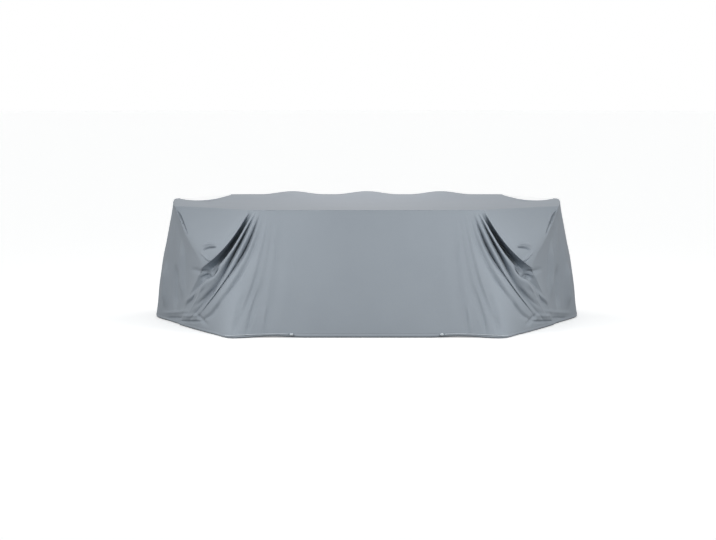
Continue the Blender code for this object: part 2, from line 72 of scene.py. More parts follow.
# ---------------- sizes of the cover
TOP_Z = 0.90
FRONT_Y, FRONT_HEM_Y = -0.93, -1.035
BACK_Y, BACK_HEM_Y = 0.93, 1.03
FRONT_POST_TOP, FRONT_POST_HEM = (0.835, -0.93), (0.985, -1.055)
END_POST_TOP, END_POST_HEM = (1.420, -0.30), (1.615, 0.22)
BACK_POST_TOP, BACK_POST_HEM = (1.080, 0.93), (1.175, 1.045)
FAR_POST_TOP, FAR_POST_HEM = (1.450, 0.53), (1.600, 0.74)
CORNER_BOW, HEM_BOW = 0.10, 0.07             # how far the slanted corner walls bow out
SWELL, SWELL_HALF, SWELL_FADES = 0.045, 0.17, 4      # it stands out at the hem and fades upward
FRONT_SWELL_X, BACK_SWELL_X = 0.94, 1.09
EDGE_BLEND = 0.06
BUMP_RISE, BUMP_HALF, BUMP_REACH = 0.024, 0.25, 0.34
BUMP_X = (-0.588, 0.0, 0.588)
MIDDLE_SAG = 0.022
SAG_EDGE_X, SAG_FADE_X, SAG_FADE_Y = 1.45, 0.4, 0.5      # the sag starts at the ends and the long edges
TOP_FORMS = (
    # name       x     reach_x y      reach_y height
    ("far_dip",  1.30, 0.13,   0.64,  0.25,   -0.036),
    ("end_rise", 1.45, 0.05,   0.20,  0.20,   0.008),
    ("end_fall", 1.42, 0.15,   -0.32, 0.20,   -0.012),
)
TOP_FOLLOWED = 0.25          # share of the height down which the long walls follow the top's level
HEM_LIFT, HEM_LIFT_X, HEM_LIFT_HALF, LIFT_FADES = 0.008, 0.66, 0.22, 6

# Rows of points down a column: to the tip of the flaps, on to the hem band, and the levels of the hem band
UPPER_ROWS, LOWER_ROWS = 60, 52
TIP_AT = 0.5                 # where down a column a flap's tip lies
GATHERED = 1.2               # 1 for even rows, more for rows gathered at the top edge
HEM_FROM, HEM_PARTS = 0.90, 14               # where down a column the hem band is looked for
HEM_TOP = 0.040              # height at which the hem band's own levels start
HEM_BAND = 0.0255            # height of the sewn hem
HEM_LEVELS = (0.0345, 0.0300, 0.0275, 0.0255, 0.0235, 0.0200, 0.0150, 0.0110, 0.0070, 0.0040, 0.0015, 0.0)
HEM_BULGE, HEM_ROUND, HEM_GROOVE, GROOVE_HALF = 0.0017, 0.6, 0.0011, 0.0035
HEM_CURL, HEM_CURL_HIGH = 0.011, 0.013       # how far the hem's edge rolls under, and from what height
HEM_TURN = ((0.0012, 0.0002), (0.0022, 0.0040), (0.0024, 0.0240))   # in and up, behind the hem's edge
SAMPLE_ROW, SAMPLE_COLUMN = 20, 15           # where a grid's outward side is read

CRISP_SLOPE = 1.5            # how steeply the cloth leaves a crisp fold line

# Front folds from the flap's seam to the middle. Depth is how far the cloth goes in behind the plain wall.
# crisp is 0 for a round fold and 1 for a sharp one; steps are the columns to the next fold.
FRONT_FOLDS = (
    # name            top_x  knee_x knee_z knee_in shin_x shin_z shin_in hem_x crisp steps
    ("pocket_back",   0.822, 0.990, 0.612, 0.260,  1.185, 0.362, 0.075, 1.400, 0.0, 8),
    ("pocket_floor",  0.803, 0.956, 0.615, 0.280,  1.172, 0.360, 0.050, 1.384, 0.3, 8),
    ("ridge_1",       0.799, 0.962, 0.622, -0.034, 1.160, 0.362, -0.018, 1.368, 0.0, 4),
    ("crest_1",       0.793, 0.949, 0.622, -0.030, 1.149, 0.362, -0.016, 1.361, 0.0, 8),
    ("valley_2",      0.778, 0.928, 0.625, 0.084,  1.070, 0.350, 0.066, 1.352, 1.3, 8),
    ("ridge_2",       0.766, 0.899, 0.622, -0.010, 1.042, 0.362, -0.006, 1.326, 0.0, 8),
    ("valley_3",      0.748, 0.866, 0.618, 0.070,  1.028, 0.370, 0.018, 1.302, 1.5, 8),
    ("ridge_3",       0.737, 0.840, 0.614, 0.004,  0.996, 0.352, 0.000, 1.272, 0.0, 8),
    ("valley_4",      0.720, 0.812, 0.612, 0.018,  0.970, 0.330, 0.028, 1.236, 0.6, 6),
    ("ridge_4",       0.708, 0.788, 0.630, 0.009,  0.930, 0.345, 0.004, 1.130, 0.2, 6),
    ("front_post",    0.697, 0.758, 0.625, -0.006, 0.838, 0.340, -0.006, 0.995, 0.0, 5),
    ("soft_a",        0.684, 0.738, 0.610, 0.004,  0.822, 0.310, 0.010, 0.950, 0.0, 5),
    ("swell_a",       0.670, 0.718, 0.600, 0.000,  0.796, 0.295, 0.000, 0.905, 0.0, 5),
    ("soft_b",        0.655, 0.700, 0.590, 0.005,  0.762, 0.280, 0.011, 0.860, 0.0, 6),
    ("swell_b",       0.630, 0.665, 0.590, 0.000,  0.715, 0.280, -0.001, 0.775, 0.0, 7),
    ("soft_c",        0.600, 0.632, 0.580, 0.006,  0.665, 0.270, 0.009, 0.705, 0.0, 8),
    ("swell_c",       0.540, 0.560, 0.580, 0.000,  0.585, 0.270, -0.002, 0.600, 0.0, 7),
    ("soft_d",        0.470, 0.490, 0.560, 0.003,  0.500, 0.270, 0.005, 0.510, 0.0, 10),
    ("swell_d",       0.330, 0.335, 0.560, 0.000,  0.340, 0.270, -0.002, 0.345, 0.0, 10),
    ("soft_e",        0.180, 0.180, 0.560, 0.001,  0.180, 0.270, 0.003, 0.180, 0.0, 10),
    ("middle",        0.000, 0.000, 0.560, 0.000,  0.000, 0.270, 0.000, 0.000, 0.0, 0),
)

BACK_FOLDS = (
    # name            top_x  knee_x knee_z knee_in shin_x shin_z shin_in hem_x crisp steps
    ("pocket_back",   1.060, 1.175, 0.700, 0.060,  1.330, 0.400, 0.016, 1.455, 0.1, 7),
    ("ridge_1",       1.036, 1.140, 0.690, -0.004, 1.270, 0.380, 0.000, 1.420, 0.7, 6),
    ("valley_2",      1.014, 1.105, 0.680, 0.040,  1.215, 0.370, 0.030, 1.370, 0.0, 7),
    ("ridge_2",       0.992, 1.070, 0.670, 0.000,  1.160, 0.360, 0.000, 1.300, 0.6, 7),
    ("valley_3",      0.975, 1.035, 0.660, 0.018,  1.110, 0.350, 0.020, 1.230, 0.0, 7),
    ("back_post",     0.945, 0.995, 0.650, 0.000,  1.060, 0.340, 0.000, 1.160, 0.2, 7),
    ("soft_a",        0.900, 0.935, 0.640, 0.006,  0.980, 0.330, 0.010, 1.050, 0.0, 7),
    ("swell_a",       0.820, 0.845, 0.640, 0.000,  0.870, 0.330, 0.000, 0.910, 0.0, 8),
    ("soft_b",        0.700, 0.712, 0.630, 0.004,  0.725, 0.320, 0.007, 0.745, 0.0, 8),
    ("swell_b",       0.560, 0.565, 0.620, 0.000,  0.570, 0.310, -0.002, 0.580, 0.0, 14),
    ("soft_c",        0.290, 0.290, 0.600, 0.004,  0.290, 0.300, 0.006, 0.290, 0.0, 15),
    ("middle",        0.000, 0.000, 0.600, 0.000,  0.000, 0.300, 0.000, 0.000, 0.0, 0),
)

# End wall folds: x and y at the top edge, at the waist and at the hem
END_FOLDS = (
    # name            top_x  top_y   waist_x waist_y hem_x  hem_y   steps
    ("flap_side",     1.424, -0.278, 1.300,  -0.440, 1.420, -0.205, 5),
    ("hang_1",        1.429, -0.245, 1.352,  -0.310, 1.430, -0.182, 5),
    ("hang_2",        1.435, -0.200, 1.412,  -0.210, 1.448, -0.145, 6),
    ("hang_3",        1.444, -0.135, 1.450,  -0.120, 1.476, -0.080, 6),
    ("hang_4",        1.453, -0.050, 1.508,  -0.010, 1.540, 0.050,  7),
    ("end_post",      1.458, 0.050,  1.538,  0.110,  1.604, 0.195,  7),
    ("hang_5",        1.462, 0.160,  1.555,  0.230,  1.622, 0.310,  7),
    ("hang_6",        1.464, 0.280,  1.550,  0.365,  1.632, 0.440,  7),
    ("hang_7",        1.461, 0.400,  1.552,  0.490,  1.626, 0.580,  7),
    ("far_post",      1.455, 0.505,  1.510,  0.640,  1.590, 0.735,  9),
)
END_WAIST_Z = 0.45
FIRST_END_STEPS = 6

# From a flap's tip down to the hem: the tip, the shin and the hem
FRONT_TIP_LINE = ((1.189, -0.700, 0.470), (1.305, -0.480, 0.231), (1.414, -0.222, 0.0))
BACK_TIP_LINE = ((1.305, 0.770, 0.660), (1.400, 0.860, 0.300), (1.480, 0.850, 0.0))
WALL_SLACK, END_SLACK, BACK_SLACK = 0.062, 0.035, 0.035
SEAM_BULGE = 0.06
SEAM_LEAN = 0.4
MOUTH_STEPS, MOUTH_ROLL, MOUTH_TURN = 9, 0.04, -0.6    # the cloth rolls over into the pocket beside a flap
FLAP_STEPS = 60
FLAP_FINER = 3               # rows of a flap to each row of the walls beside it
FLAP_GATHERED = 0.9          # 0 for even columns across a flap, 1 for columns gathered at its seams
CREST_INSET, CREST_SAG = 0.10, 0.005
BACK_CREST_INSET, BACK_CREST_SAG = 0.06, 0.020
CREST_SKEW = 0.75            # below 1, a flap's belly lies nearer the end wall
FLAP_BELLY, BELLY_FULL = 0.030, 2 / 3        # how far a flap bellies out, and how far down
FLAP_FADE = 4.0              # points from a flap's edges over which its creases start
FLAP_LEAN, FLAP_TIP_SPOT = 0.9, 0.012        # a flap's slant on the flat cloth, and its tip's reach
# The sharp crease at a front flap's upper corner, in shares of the flap's width and of the way down it: it
# leaves the seam at CREASE_START, leans away from it, and fades from CREASE_STOPS on
CREASE_DEPTH, CREASE_HALF = 0.048, 0.014
CREASE_START, CREASE_LEAN = 0.035, 0.17
CREASE_BEGINS, CREASE_STOPS, CREASE_FADES = 8.0, 0.27, 7.0
CREASE_FIRST, CREASE_SPACING, CREASE_COLUMNS = 0.004928, 0.00448, 16     # extra columns laid across it

CREASE_TAPER = 0.32          # share of a small crease's length over which either end fades
CREASE_PARTS = 12
TROUGH_SHARPNESS = 1.6

# Which places the tables of small creases reach: the front's up to this y, the ends' from this x, and the
# back's from this y, each fading over the blend
FRONT_CREASES_TO, END_CREASES_FROM, BACK_CREASES_FROM, CREASES_BLEND = 0.10, 1.12, 0.40, 0.14
FADE_STEPS = 5               # points from a seam over which creases and waves start
SLACK_WAVES = (
    # scale             shift            height
    ((3.1, 3.1, 2.3),   (0.0, 7.0, 0.0), 0.0022),
    ((11.0, 11.0, 7.0), (3.0, 0.0, 0.0), 0.0006),
)
TOP_WAVES = (
    # scale level height
    (2.7, 4.0, 0.0030),
    (9.0, 9.0, 0.0008),
)

# Small creases, each along three points of (across, height), with its half width and depth; a ridge has a
# depth below 0. Across is x on the front, the back and the flaps, and y on the end walls.
FRONT_CREASES = (
    # name             first            middle           last             half   depth
    ("band_a",         (0.748, 0.400), (0.815, 0.182), (0.866, -0.060), 0.032, 0.0130),
    ("band_b",         (0.862, 0.340), (0.913, 0.170), (0.955, 0.000), 0.028, 0.0115),
    ("band_a_edge",    (0.735, 0.330), (0.785, 0.180), (0.828, 0.020), 0.018, -0.0045),
    ("hem_dark_1",     (0.692, 0.250), (0.712, 0.111), (0.730, -0.030), 0.018, 0.0085),
    ("hem_light_1",    (0.716, 0.240), (0.733, 0.120), (0.752, 0.000), 0.015, -0.0070),
    ("hem_light_2",    (0.798, 0.190), (0.818, 0.091), (0.838, -0.010), 0.015, -0.0070),
    ("hem_dark_3",     (0.896, 0.180), (0.915, 0.093), (0.934, 0.000), 0.016, 0.0080),
    ("faint_upper",    (0.655, 0.740), (0.645, 0.619), (0.636, 0.480), 0.018, 0.0045),
    ("faint_middle",   (0.540, 0.590), (0.520, 0.499), (0.500, 0.410), 0.018, 0.0042),
    ("tip_light",      (1.170, 0.505), (1.145, 0.485), (1.122, 0.468), 0.014, -0.0060),
    ("below_tip",      (1.290, 0.437), (1.209, 0.437), (1.120, 0.424), 0.028, 0.0300),
    ("under_tip",      (1.205, 0.396), (1.150, 0.406), (1.090, 0.424), 0.015, 0.0220),
    ("tip_crease",     (1.225, 0.375), (1.115, 0.424), (1.045, 0.505), 0.022, 0.0220),
    ("long_ridge",     (1.074, 0.450), (1.209, 0.296), (1.368, 0.150), 0.030, -0.0160),
    ("under_ridge",    (1.092, 0.410), (1.228, 0.262), (1.372, 0.128), 0.024, 0.0110),
    ("low_fold_2",     (1.062, 0.360), (1.150, 0.265), (1.290, 0.150), 0.030, 0.0120),
    ("low_fold_4",     (1.034, 0.256), (1.105, 0.154), (1.215, 0.070), 0.022, 0.0120),
    ("hem_wedge",      (1.250, 0.130), (1.203, 0.092), (1.150, 0.050), 0.026, 0.0180),
    ("hem_fold",       (1.410, 0.026), (1.307, 0.050), (1.180, 0.080), 0.013, 0.0220),
    ("hem_fold_light", (1.387, 0.075), (1.300, 0.093), (1.211, 0.125), 0.018, -0.0070),
)
FLAP_CREASES = (
    # name             first            middle           last             half   depth
    ("tip_wrinkle",    (1.195, 0.588), (1.143, 0.618), (1.072, 0.627), 0.0090, 0.0360),
    ("tip_ridge",      (1.200, 0.618), (1.147, 0.642), (1.070, 0.650), 0.014, -0.0110),
    ("low_ridge",      (1.205, 0.585), (1.161, 0.551), (1.115, 0.518), 0.016, -0.0120),
    ("low_wrinkle",    (1.195, 0.560), (1.150, 0.525), (1.110, 0.495), 0.0085, 0.0180),
    ("long_faint",     (0.876, 0.855), (0.943, 0.767), (1.020, 0.675), 0.022, 0.0060),
)
END_CREASES = (
    # name             first            middle           last             half   depth
    ("upright_light",  (-0.318, 0.66), (-0.286, 0.400), (-0.290, 0.170), 0.044, -0.0320),
    ("upright_dark",   (-0.175, 0.46), (-0.160, 0.220), (-0.160, 0.080), 0.070, 0.0340),
    ("upright_far",    (0.010, 0.46),  (0.012, 0.250),  (0.030, 0.080),  0.060, -0.0280),
    ("far_trough",     (0.330, 0.70),  (0.380, 0.420),  (0.430, 0.120),  0.045, 0.0060),
    ("far_ridge",      (0.210, 0.62),  (0.250, 0.380),  (0.300, 0.100),  0.040, -0.0050),
    ("hem_light",      (0.135, 0.042), (-0.260, 0.095), (-0.560, 0.140), 0.018, -0.0070),
    ("hem_shadow",     (0.020, 0.018), (-0.167, 0.039), (-0.360, 0.060), 0.018, 0.0140),
)
BACK_CREASES = (
    # name             first            middle           last             half   depth
    ("long_trough",    (1.110, 0.520), (1.180, 0.330), (1.290, 0.120), 0.024, 0.0060),
    ("long_ridge",     (1.150, 0.500), (1.225, 0.320), (1.330, 0.120), 0.022, -0.0050),
    ("faint_upper",    (0.820, 0.760), (0.832, 0.600), (0.850, 0.440), 0.020, 0.0030),
    ("faint_middle",   (0.440, 0.640), (0.448, 0.480), (0.452, 0.330), 0.022, 0.0026),
    ("hem_dark_1",     (0.880, 0.210), (0.900, 0.120), (0.925, 0.030), 0.016, 0.0035),
    ("hem_dark_2",     (0.640, 0.190), (0.648, 0.110), (0.655, 0.030), 0.016, 0.0030),
)

# Drawcord along the front hem, and its barrel-shaped stop
CORD_DIAMETER = 0.006
CORD_ROUTE = (
    # x, z along the face of the hem
    (1.000, 0.016), (0.985, 0.018), (0.950, 0.021), (0.900, 0.023), (0.840, 0.024), (0.780, 0.025),
    (0.720, 0.026), (0.660, 0.027), (0.610, 0.027), (0.575, 0.026), (0.558, 0.025),
)
CORD_CLEARANCE = 0.0024
CORD_RING = 0.0009           # spacing of the rings along the cord
CORD_SIDES = 14
BRAID_PITCH, BRAID_STRANDS, BRAID_RELIEF = 0.012, 7, 0.00028
STOP_LENGTH, STOP_RADIUS = 0.024, 0.010
STOP_X, STOP_Z = 0.545, 0.025
STOP_SIDES = 40
FLUTES, FLUTE_DEPTH, FLUTED_TO = 10, 0.02, 0.24
STOP_PROFILE = (
    # along the stop, share of its radius
    (-0.420, 0.30), (-0.500, 0.30), (-0.500, 0.46), (-0.490, 0.54), (-0.455, 0.56), (-0.430, 0.58),
    (-0.425, 0.74), (-0.410, 0.83), (-0.380, 0.89), (-0.320, 0.93), (-0.260, 0.95), (-0.245, 0.90),
    (-0.215, 0.90), (-0.200, 0.97), (-0.140, 0.99), (-0.125, 0.93), (-0.095, 0.93), (-0.080, 0.995),
    (-0.020, 1.00), (-0.005, 0.94), (0.025, 0.94), (0.040, 0.995), (0.100, 0.985), (0.115, 0.92),
    (0.145, 0.92), (0.160, 0.965), (0.230, 0.94), (0.290, 0.90), (0.325, 0.84), (0.335, 0.60),
    (0.350, 0.56), (0.420, 0.55), (0.455, 0.52), (0.480, 0.44), (0.494, 0.30), (0.500, 0.12),
)

# Seam and stitches
SEAM_WIDE, SEAM_HIGH, SEAM_SIDES = 0.0022, 0.0014, 8
SEAM_UPWARD = 0.6            # how much the seam's ridge turns up from the wall's outward side
SEAM_APART = 1e-4            # the least distance between its points
STITCH_PITCH, STITCH_LONG, STITCH_THICK = 0.0082, 0.0058, 0.00055
STITCH_SIDES, STITCH_PARTS = 5, 4
STITCH_RISE, STITCH_SUNK, STITCH_FLATNESS = 0.9, 0.25, 0.8     # in shares of its thickness
TOP_STITCH_DROP = 0.008

TOP_GRID, GRID_CLEAR = 0.026, 0.0104              # spacing of the level part's points, and from its edge
LEVEL_X, LEVEL_Y, LEVEL_EDGE = 1.44, 0.92, 0.1    # half sizes of the level part, and its even margin
CRESTS_FROM_X, CRESTS_FROM_Y = 0.8, 0.2
CREST_ROUND, CREST_PASSES = 0.022, 3
MERGE = 2e-5                 # points closer than this are one
WEAVE_PITCH = 0.0011


# ---------------- forms, as in the solids
def lerp(a, b, t):
    return a + (b - a) * t


def ease(t):
    return 0.5 - 0.5 * math.cos(math.pi * min(max(t, 0.0), 1.0))


def close_to(offset, reach):
    """1 in the middle, falling softly to 0 at the reach."""
    return 1.0 - ease(abs(offset) / reach)


def arch(t):
    """0 at either end and 1 in the middle."""
    return 4.0 * t * (1.0 - t)


def smooth_max(a, b, width):
    t = min(max(0.5 + 0.5 * (a - b) / width, 0.0), 1.0)
    return lerp(b, a, t) + width * t * (1.0 - t)


def flipped(place):
    return Vector((-place.x, place.y, place.z))


def lengths_along(path):
    """Length of the path up to each of its points."""
    lengths = [0.0]
    for a, b in zip(path, path[1:]):
        lengths.append(lengths[-1] + (b - a).length)
    return lengths


def spline(points, t):
    """A smooth curve through the points, t measured along their chords."""
    lengths = lengths_along(points)
    s = t * lengths[-1]
    i = max(k for k in range(len(points) - 1) if lengths[k] <= s or k == 0)

    def tangent(k):
        lo, hi = max(k - 1, 0), min(k + 1, len(points) - 1)
        return (points[hi] - points[lo]) / (lengths[hi] - lengths[lo])

    span = lengths[i + 1] - lengths[i]
    u = (s - lengths[i]) / span
    h1, h2 = 2 * u**3 - 3 * u**2 + 1, -2 * u**3 + 3 * u**2
    h3, h4 = u**3 - 2 * u**2 + u, u**3 - u**2
    return h1 * points[i] + h2 * points[i + 1] + span * (h3 * tangent(i) + h4 * tangent(i + 1))


def top_height(x, y):
    """Level of the top panel."""
    level = TOP_Z
    for centre in BUMP_X:
        level += BUMP_RISE * close_to(x - centre, BUMP_HALF) * (1.0 - ease((BACK_Y - y) / BUMP_REACH))
    for _, form_x, reach_x, form_y, reach_y, height in TOP_FORMS:
        level += height * math.exp(-(((abs(x) - form_x) / reach_x) ** 2) - ((y - form_y) / reach_y) ** 2)
    inner = ease((BACK_Y - abs(y)) / SAG_FADE_Y) * ease((SAG_EDGE_X - abs(x)) / SAG_FADE_X)
    return level - MIDDLE_SAG * inner


def on_top(x, y):
    return Vector((x, y, top_height(x, y)))


def corner_wall(x, z, near_top, near_hem, far_top, far_hem, wall_top, wall_hem, facing):
    """y of the plain wall at (x, z): a straight wall that turns into a slanted corner wall."""
    drop = 1.0 - z / TOP_Z
    near = [lerp(a, b, drop) for a, b in zip(near_top, near_hem)]
    far = [lerp(a, b, drop) for a, b in zip(far_top, far_hem)]
    straight = facing * lerp(wall_top, wall_hem, drop)
    q = (x - near[0]) / (far[0] - near[0])
    bow = CORNER_BOW * math.sin(math.pi * min(max(drop, 0.0), 1.0)) + HEM_BOW * drop
    belly = arch(q) if q > 0.0 else 4.0 * q / (1.0 - 4.0 * q)
    slanted = facing * lerp(near[1], far[1], q) - bow * belly
    return facing * smooth_max(straight, slanted, EDGE_BLEND)


def swell(x, z, centre):
    return SWELL * close_to(x - centre, SWELL_HALF) * (1.0 - z / TOP_Z) ** SWELL_FADES


def front_wall(x, z):
    return corner_wall(x, z, FRONT_POST_TOP, FRONT_POST_HEM, END_POST_TOP, END_POST_HEM,
                       FRONT_Y, FRONT_HEM_Y, 1.0) - swell(x, z, FRONT_SWELL_X)


def back_wall(x, z):
    return corner_wall(x, z, BACK_POST_TOP, BACK_POST_HEM, FAR_POST_TOP, FAR_POST_HEM,
                       BACK_Y, BACK_HEM_Y, -1.0) + swell(x, z, BACK_SWELL_X)


def fold_line(fold, t):
    """(x, height, depth) of a front or back fold, t from 0 at the top edge to 1 at the hem."""
    _, top_x, knee_x, knee_z, knee_in, shin_x, shin_z, shin_in, hem_x, _, _ = fold
    bends = ((top_x, TOP_Z), (knee_x, knee_z), (shin_x, shin_z), (hem_x, 0.0))
    points = [Vector((*bend, 0.0)) for bend in bends]
    place = spline(points, t)
    length = lengths_along(points)[-1]
    knee_t = (points[1] - points[0]).length / length
    shin_t = knee_t + (points[2] - points[1]).length / length
    if t < knee_t:
        depth = knee_in * ease(t / knee_t)
    elif t < shin_t:
        depth = lerp(knee_in, shin_in, ease((t - knee_t) / (shin_t - knee_t)))
    else:
        depth = shin_in * (1.0 - ease((t - shin_t) / (1.0 - shin_t)))
    return place.x, place.y, depth


def wall_point(x, z, depth, wall, facing, t):
    """A point of the front or back wall; the top row follows the top panel's level."""
    y = wall(x, z) + facing * depth
    if t == 0.0:
        return on_top(x, y)
    drop = 1.0 - z / TOP_Z
    lift = 0.0
    if facing > 0:
        lift = HEM_LIFT * close_to(x - HEM_LIFT_X, HEM_LIFT_HALF) * max(drop, 0.0) ** LIFT_FADES
    rise = (top_height(x, facing * FRONT_Y) - TOP_Z) * (1.0 - ease(drop / TOP_FOLLOWED))
    return Vector((x, y, z + lift + rise))


def seam_point(start, tip_line, slack, bulge, t):
    """A flap's seam down to its tip, and the line from there to the hem."""
    if t >= TIP_AT:
        return spline([Vector(p) for p in tip_line], (t - TIP_AT) / (1.0 - TIP_AT))
    s = t / TIP_AT
    place = start.lerp(Vector(tip_line[0]), s)
    place.z -= slack * arch(s) * (1.0 - SEAM_LEAN * s)
    place.y -= bulge * arch(s)
    return place


def crossing(s, from_crisp, to_crisp):
    """How far the depth has gone from one fold line to the next; a crisp line is left at a slope."""
    rise = 3.0 * s**2 - 2.0 * s**3
    return rise + CRISP_SLOPE * (from_crisp * (s**3 - 2.0 * s**2 + s) + to_crisp * (s**3 - s**2))


# ---------------- columns of points
UPPER = [TIP_AT * (k / UPPER_ROWS) ** GATHERED for k in range(UPPER_ROWS + 1)]
HEM_SAMPLES = [lerp(HEM_FROM, 1.0, k / HEM_PARTS) for k in range(HEM_PARTS + 1)]
TIP_ROW = UPPER_ROWS
HEM_ROW = UPPER_ROWS + LOWER_ROWS            # the last row above the hem band
HEM_EDGE = HEM_ROW + len(HEM_LEVELS)         # the lowest row


def hem_relief(level):
    """How far the cloth stands out at a height above the hem's edge."""
    groove = HEM_GROOVE * max(0.0, 1.0 - abs(level - HEM_BAND) / GROOVE_HALF)
    if level >= HEM_BAND:
        return -groove
    curl = HEM_CURL * max(0.0, 1.0 - level / HEM_CURL_HIGH) ** 2
    return HEM_BULGE * math.sin(math.pi * min(level / HEM_BAND, 1.0)) ** HEM_ROUND - groove - curl


def column(curve):
    """Points of one column: even rows down to the hem band, then the hem band's own levels."""
    tail = [curve(t) for t in HEM_SAMPLES]
    bottom = tail[-1].z

    def at_level(level):
        for k in range(len(tail) - 1, 0, -1):
            lower, upper = tail[k], tail[k - 1]
            if upper.z - bottom >= level:
                s = (level - (lower.z - bottom)) / max(upper.z - lower.z, 1e-9)
                return lower.lerp(upper, s), lerp(HEM_SAMPLES[k], HEM_SAMPLES[k - 1], s)
        return tail[0].copy(), HEM_SAMPLES[0]

    hem_t = at_level(HEM_TOP)[1]
    points = [curve(t) for t in UPPER]
    points += [curve(lerp(TIP_AT, hem_t, k / LOWER_ROWS)) for k in range(1, LOWER_ROWS + 1)]
    return points + [at_level(level)[0] for level in HEM_LEVELS]


def wall_columns(folds, wall, facing, seam_curve):
    """Columns from a flap's seam to the middle of the front or back."""

    def mouth(share):
        def curve(t):
            rim = seam_curve(t)
            edge = wall_point(*fold_line(folds[0], t), wall, facing, t)
            roll = MOUTH_ROLL * (edge - rim).length * math.sin(math.pi * share)
            return rim.lerp(edge, share) + Vector((MOUTH_TURN, -facing, 0.0)).normalized() * roll
        return curve

    columns = [column(seam_curve)]
    columns += [column(mouth((k / MOUTH_STEPS) ** GATHERED)) for k in range(1, MOUTH_STEPS)]
    for fold, following in zip(folds, folds[1:]):
        for step in range(fold[-1]):
            s = step / fold[-1]
            share = crossing(s, fold[-2], following[-2])

            def curve(t, fold=fold, following=following, s=s, share=share):
                x0, z0, in0 = fold_line(fold, t)
                x1, z1, in1 = fold_line(following, t)
                return wall_point(lerp(x0, x1, s), lerp(z0, z1, s), lerp(in0, in1, share), wall, facing, t)

            columns.append(column(curve))
    columns.append(column(lambda t: wall_point(*fold_line(folds[-1], t), wall, facing, t)))
    return columns


def end_columns(near_curve, far_curve):
    """Columns across an end wall, from the front flap's seam to the back flap's."""

    def fold_curve(fold):
        _, top_x, top_y, waist_x, waist_y, hem_x, hem_y, _ = fold
        ends = [on_top(top_x, top_y), Vector((waist_x, waist_y, END_WAIST_Z)), Vector((hem_x, hem_y, 0.0))]
        return lambda t: spline(ends, t)

    lines = [near_curve] + [fold_curve(fold) for fold in END_FOLDS] + [far_curve]
    counts = [FIRST_END_STEPS] + [fold[-1] for fold in END_FOLDS]
    columns = []
    for i, count in enumerate(counts):
        before, after = max(i - 1, 0), min(i + 2, len(lines) - 1)
        for step in range(count):
            s = step / count

            def curve(t, i=i, s=s, before=before, after=after):
                a, b = lines[i](t), lines[i + 1](t)
                lean_a = (b - lines[before](t)) / (i + 1 - before)
                lean_b = (lines[after](t) - a) / (after - i)
                h3, h4 = s**3 - 2 * s**2 + s, s**3 - s**2
                return a.lerp(b, 3 * s**2 - 2 * s**3) + h3 * lean_a + h4 * lean_b

            columns.append(column(curve))
    columns.append(column(far_curve))
    return columns


def flap_rows(side_seam, wall_seam, inset, crest_sag, crease):
    """Rows of points across a drooping flap, from the crest down to the row above its tip."""
    across = (wall_seam[0] - side_seam[0]).normalized()
    outward = across.cross(Vector((0.0, 0.0, 1.0)))
    if outward.x < 0.0:
        outward.negate()
    even = [k / FLAP_STEPS for k in range(FLAP_STEPS + 1)]
    shares = [lerp(s, s * s * (3.0 - 2.0 * s), FLAP_GATHERED) for s in even]
    shares = sorted(shares + [CREASE_FIRST + CREASE_SPACING * k for k in range(CREASE_COLUMNS)])
    rows = []
    for step in range(TIP_ROW * FLAP_FINER):
        row, part = step // FLAP_FINER, step % FLAP_FINER / FLAP_FINER
        near = side_seam[row].lerp(side_seam[row + 1], part)
        far = wall_seam[row].lerp(wall_seam[row + 1], part)
        t = lerp(UPPER[row], UPPER[row + 1], part) / TIP_AT
        belly = lerp(-inset, FLAP_BELLY, 1.0 - (1.0 - min(t / BELLY_FULL, 1.0)) ** 2) * (1.0 - t**3)
        sag = crest_sag * (1.0 - t)
        fade = ease(t * CREASE_BEGINS) * (1.0 - ease((t - CREASE_STOPS) * CREASE_FADES))
        crease_at = max(CREASE_LEAN * (t - CREASE_START), 1e-4)
        half = min(CREASE_HALF, crease_at)
        deepest = crease * fade * half / CREASE_HALF
        points = []
        for s in shares:
            skewed = arch(s**CREST_SKEW)
            groove = deepest * close_to(s - crease_at, half)
            place = near.lerp(far, s) + outward * (belly * skewed - groove)
            place.z -= sag * skewed
            points.append(place)
        rows.append(points)
    return rows


# ---------------- creases and unevenness
def soft_step(values):
    """0 up to 0, 1 from 1 on, and smooth between, for arrays."""
    t = np.clip(values, 0.0, 1.0)
    return t * t * (3.0 - 2.0 * t)


def line_gap(xs, ys, a, b):
    """Distance of arrays of places from the line between two points, and the share along it."""
    dx, dy = b.x - a.x, b.y - a.y
    s = np.clip(((xs - a.x) * dx + (ys - a.y) * dy) / max(dx * dx + dy * dy, 1e-12), 0.0, 1.0)
    return np.hypot(xs - a.x - s * dx, ys - a.y - s * dy), s


def crease_depth(across, height, creases):
    """Depth that the creases give at arrays of places."""
    total = np.zeros_like(across)
    for _, first, middle, last, half, depth in creases:
        bends = [Vector((*p, 0.0)) for p in (first, middle, last)]
        path = [spline(bends, k / CREASE_PARTS) for k in range(CREASE_PARTS + 1)]
        nearest = np.full_like(across, np.inf)
        place = np.zeros_like(across)
        for k, (a, b) in enumerate(zip(path, path[1:])):
            gap, s = line_gap(across, height, a, b)
            closer = gap < nearest
            nearest = np.where(closer, gap, nearest)
            place = np.where(closer, (k + s) / CREASE_PARTS, place)
        ends = soft_step(np.minimum(place, 1.0 - place) / CREASE_TAPER)
        if depth > 0.0:
            profile = np.clip(1.0 - nearest / half, 0.0, 1.0) ** TROUGH_SHARPNESS
        else:
            profile = np.clip(1.0 - (nearest / half) ** 2, 0.0, 1.0) ** 2
        total += depth * profile * ends
    return total


def grid_normals(points):
    """Unit normals of a grid of points, as an array like it."""
    normals = np.cross(np.gradient(points, axis=0), np.gradient(points, axis=1))
    return normals / np.maximum(np.linalg.norm(normals, axis=2, keepdims=True), 1e-12)


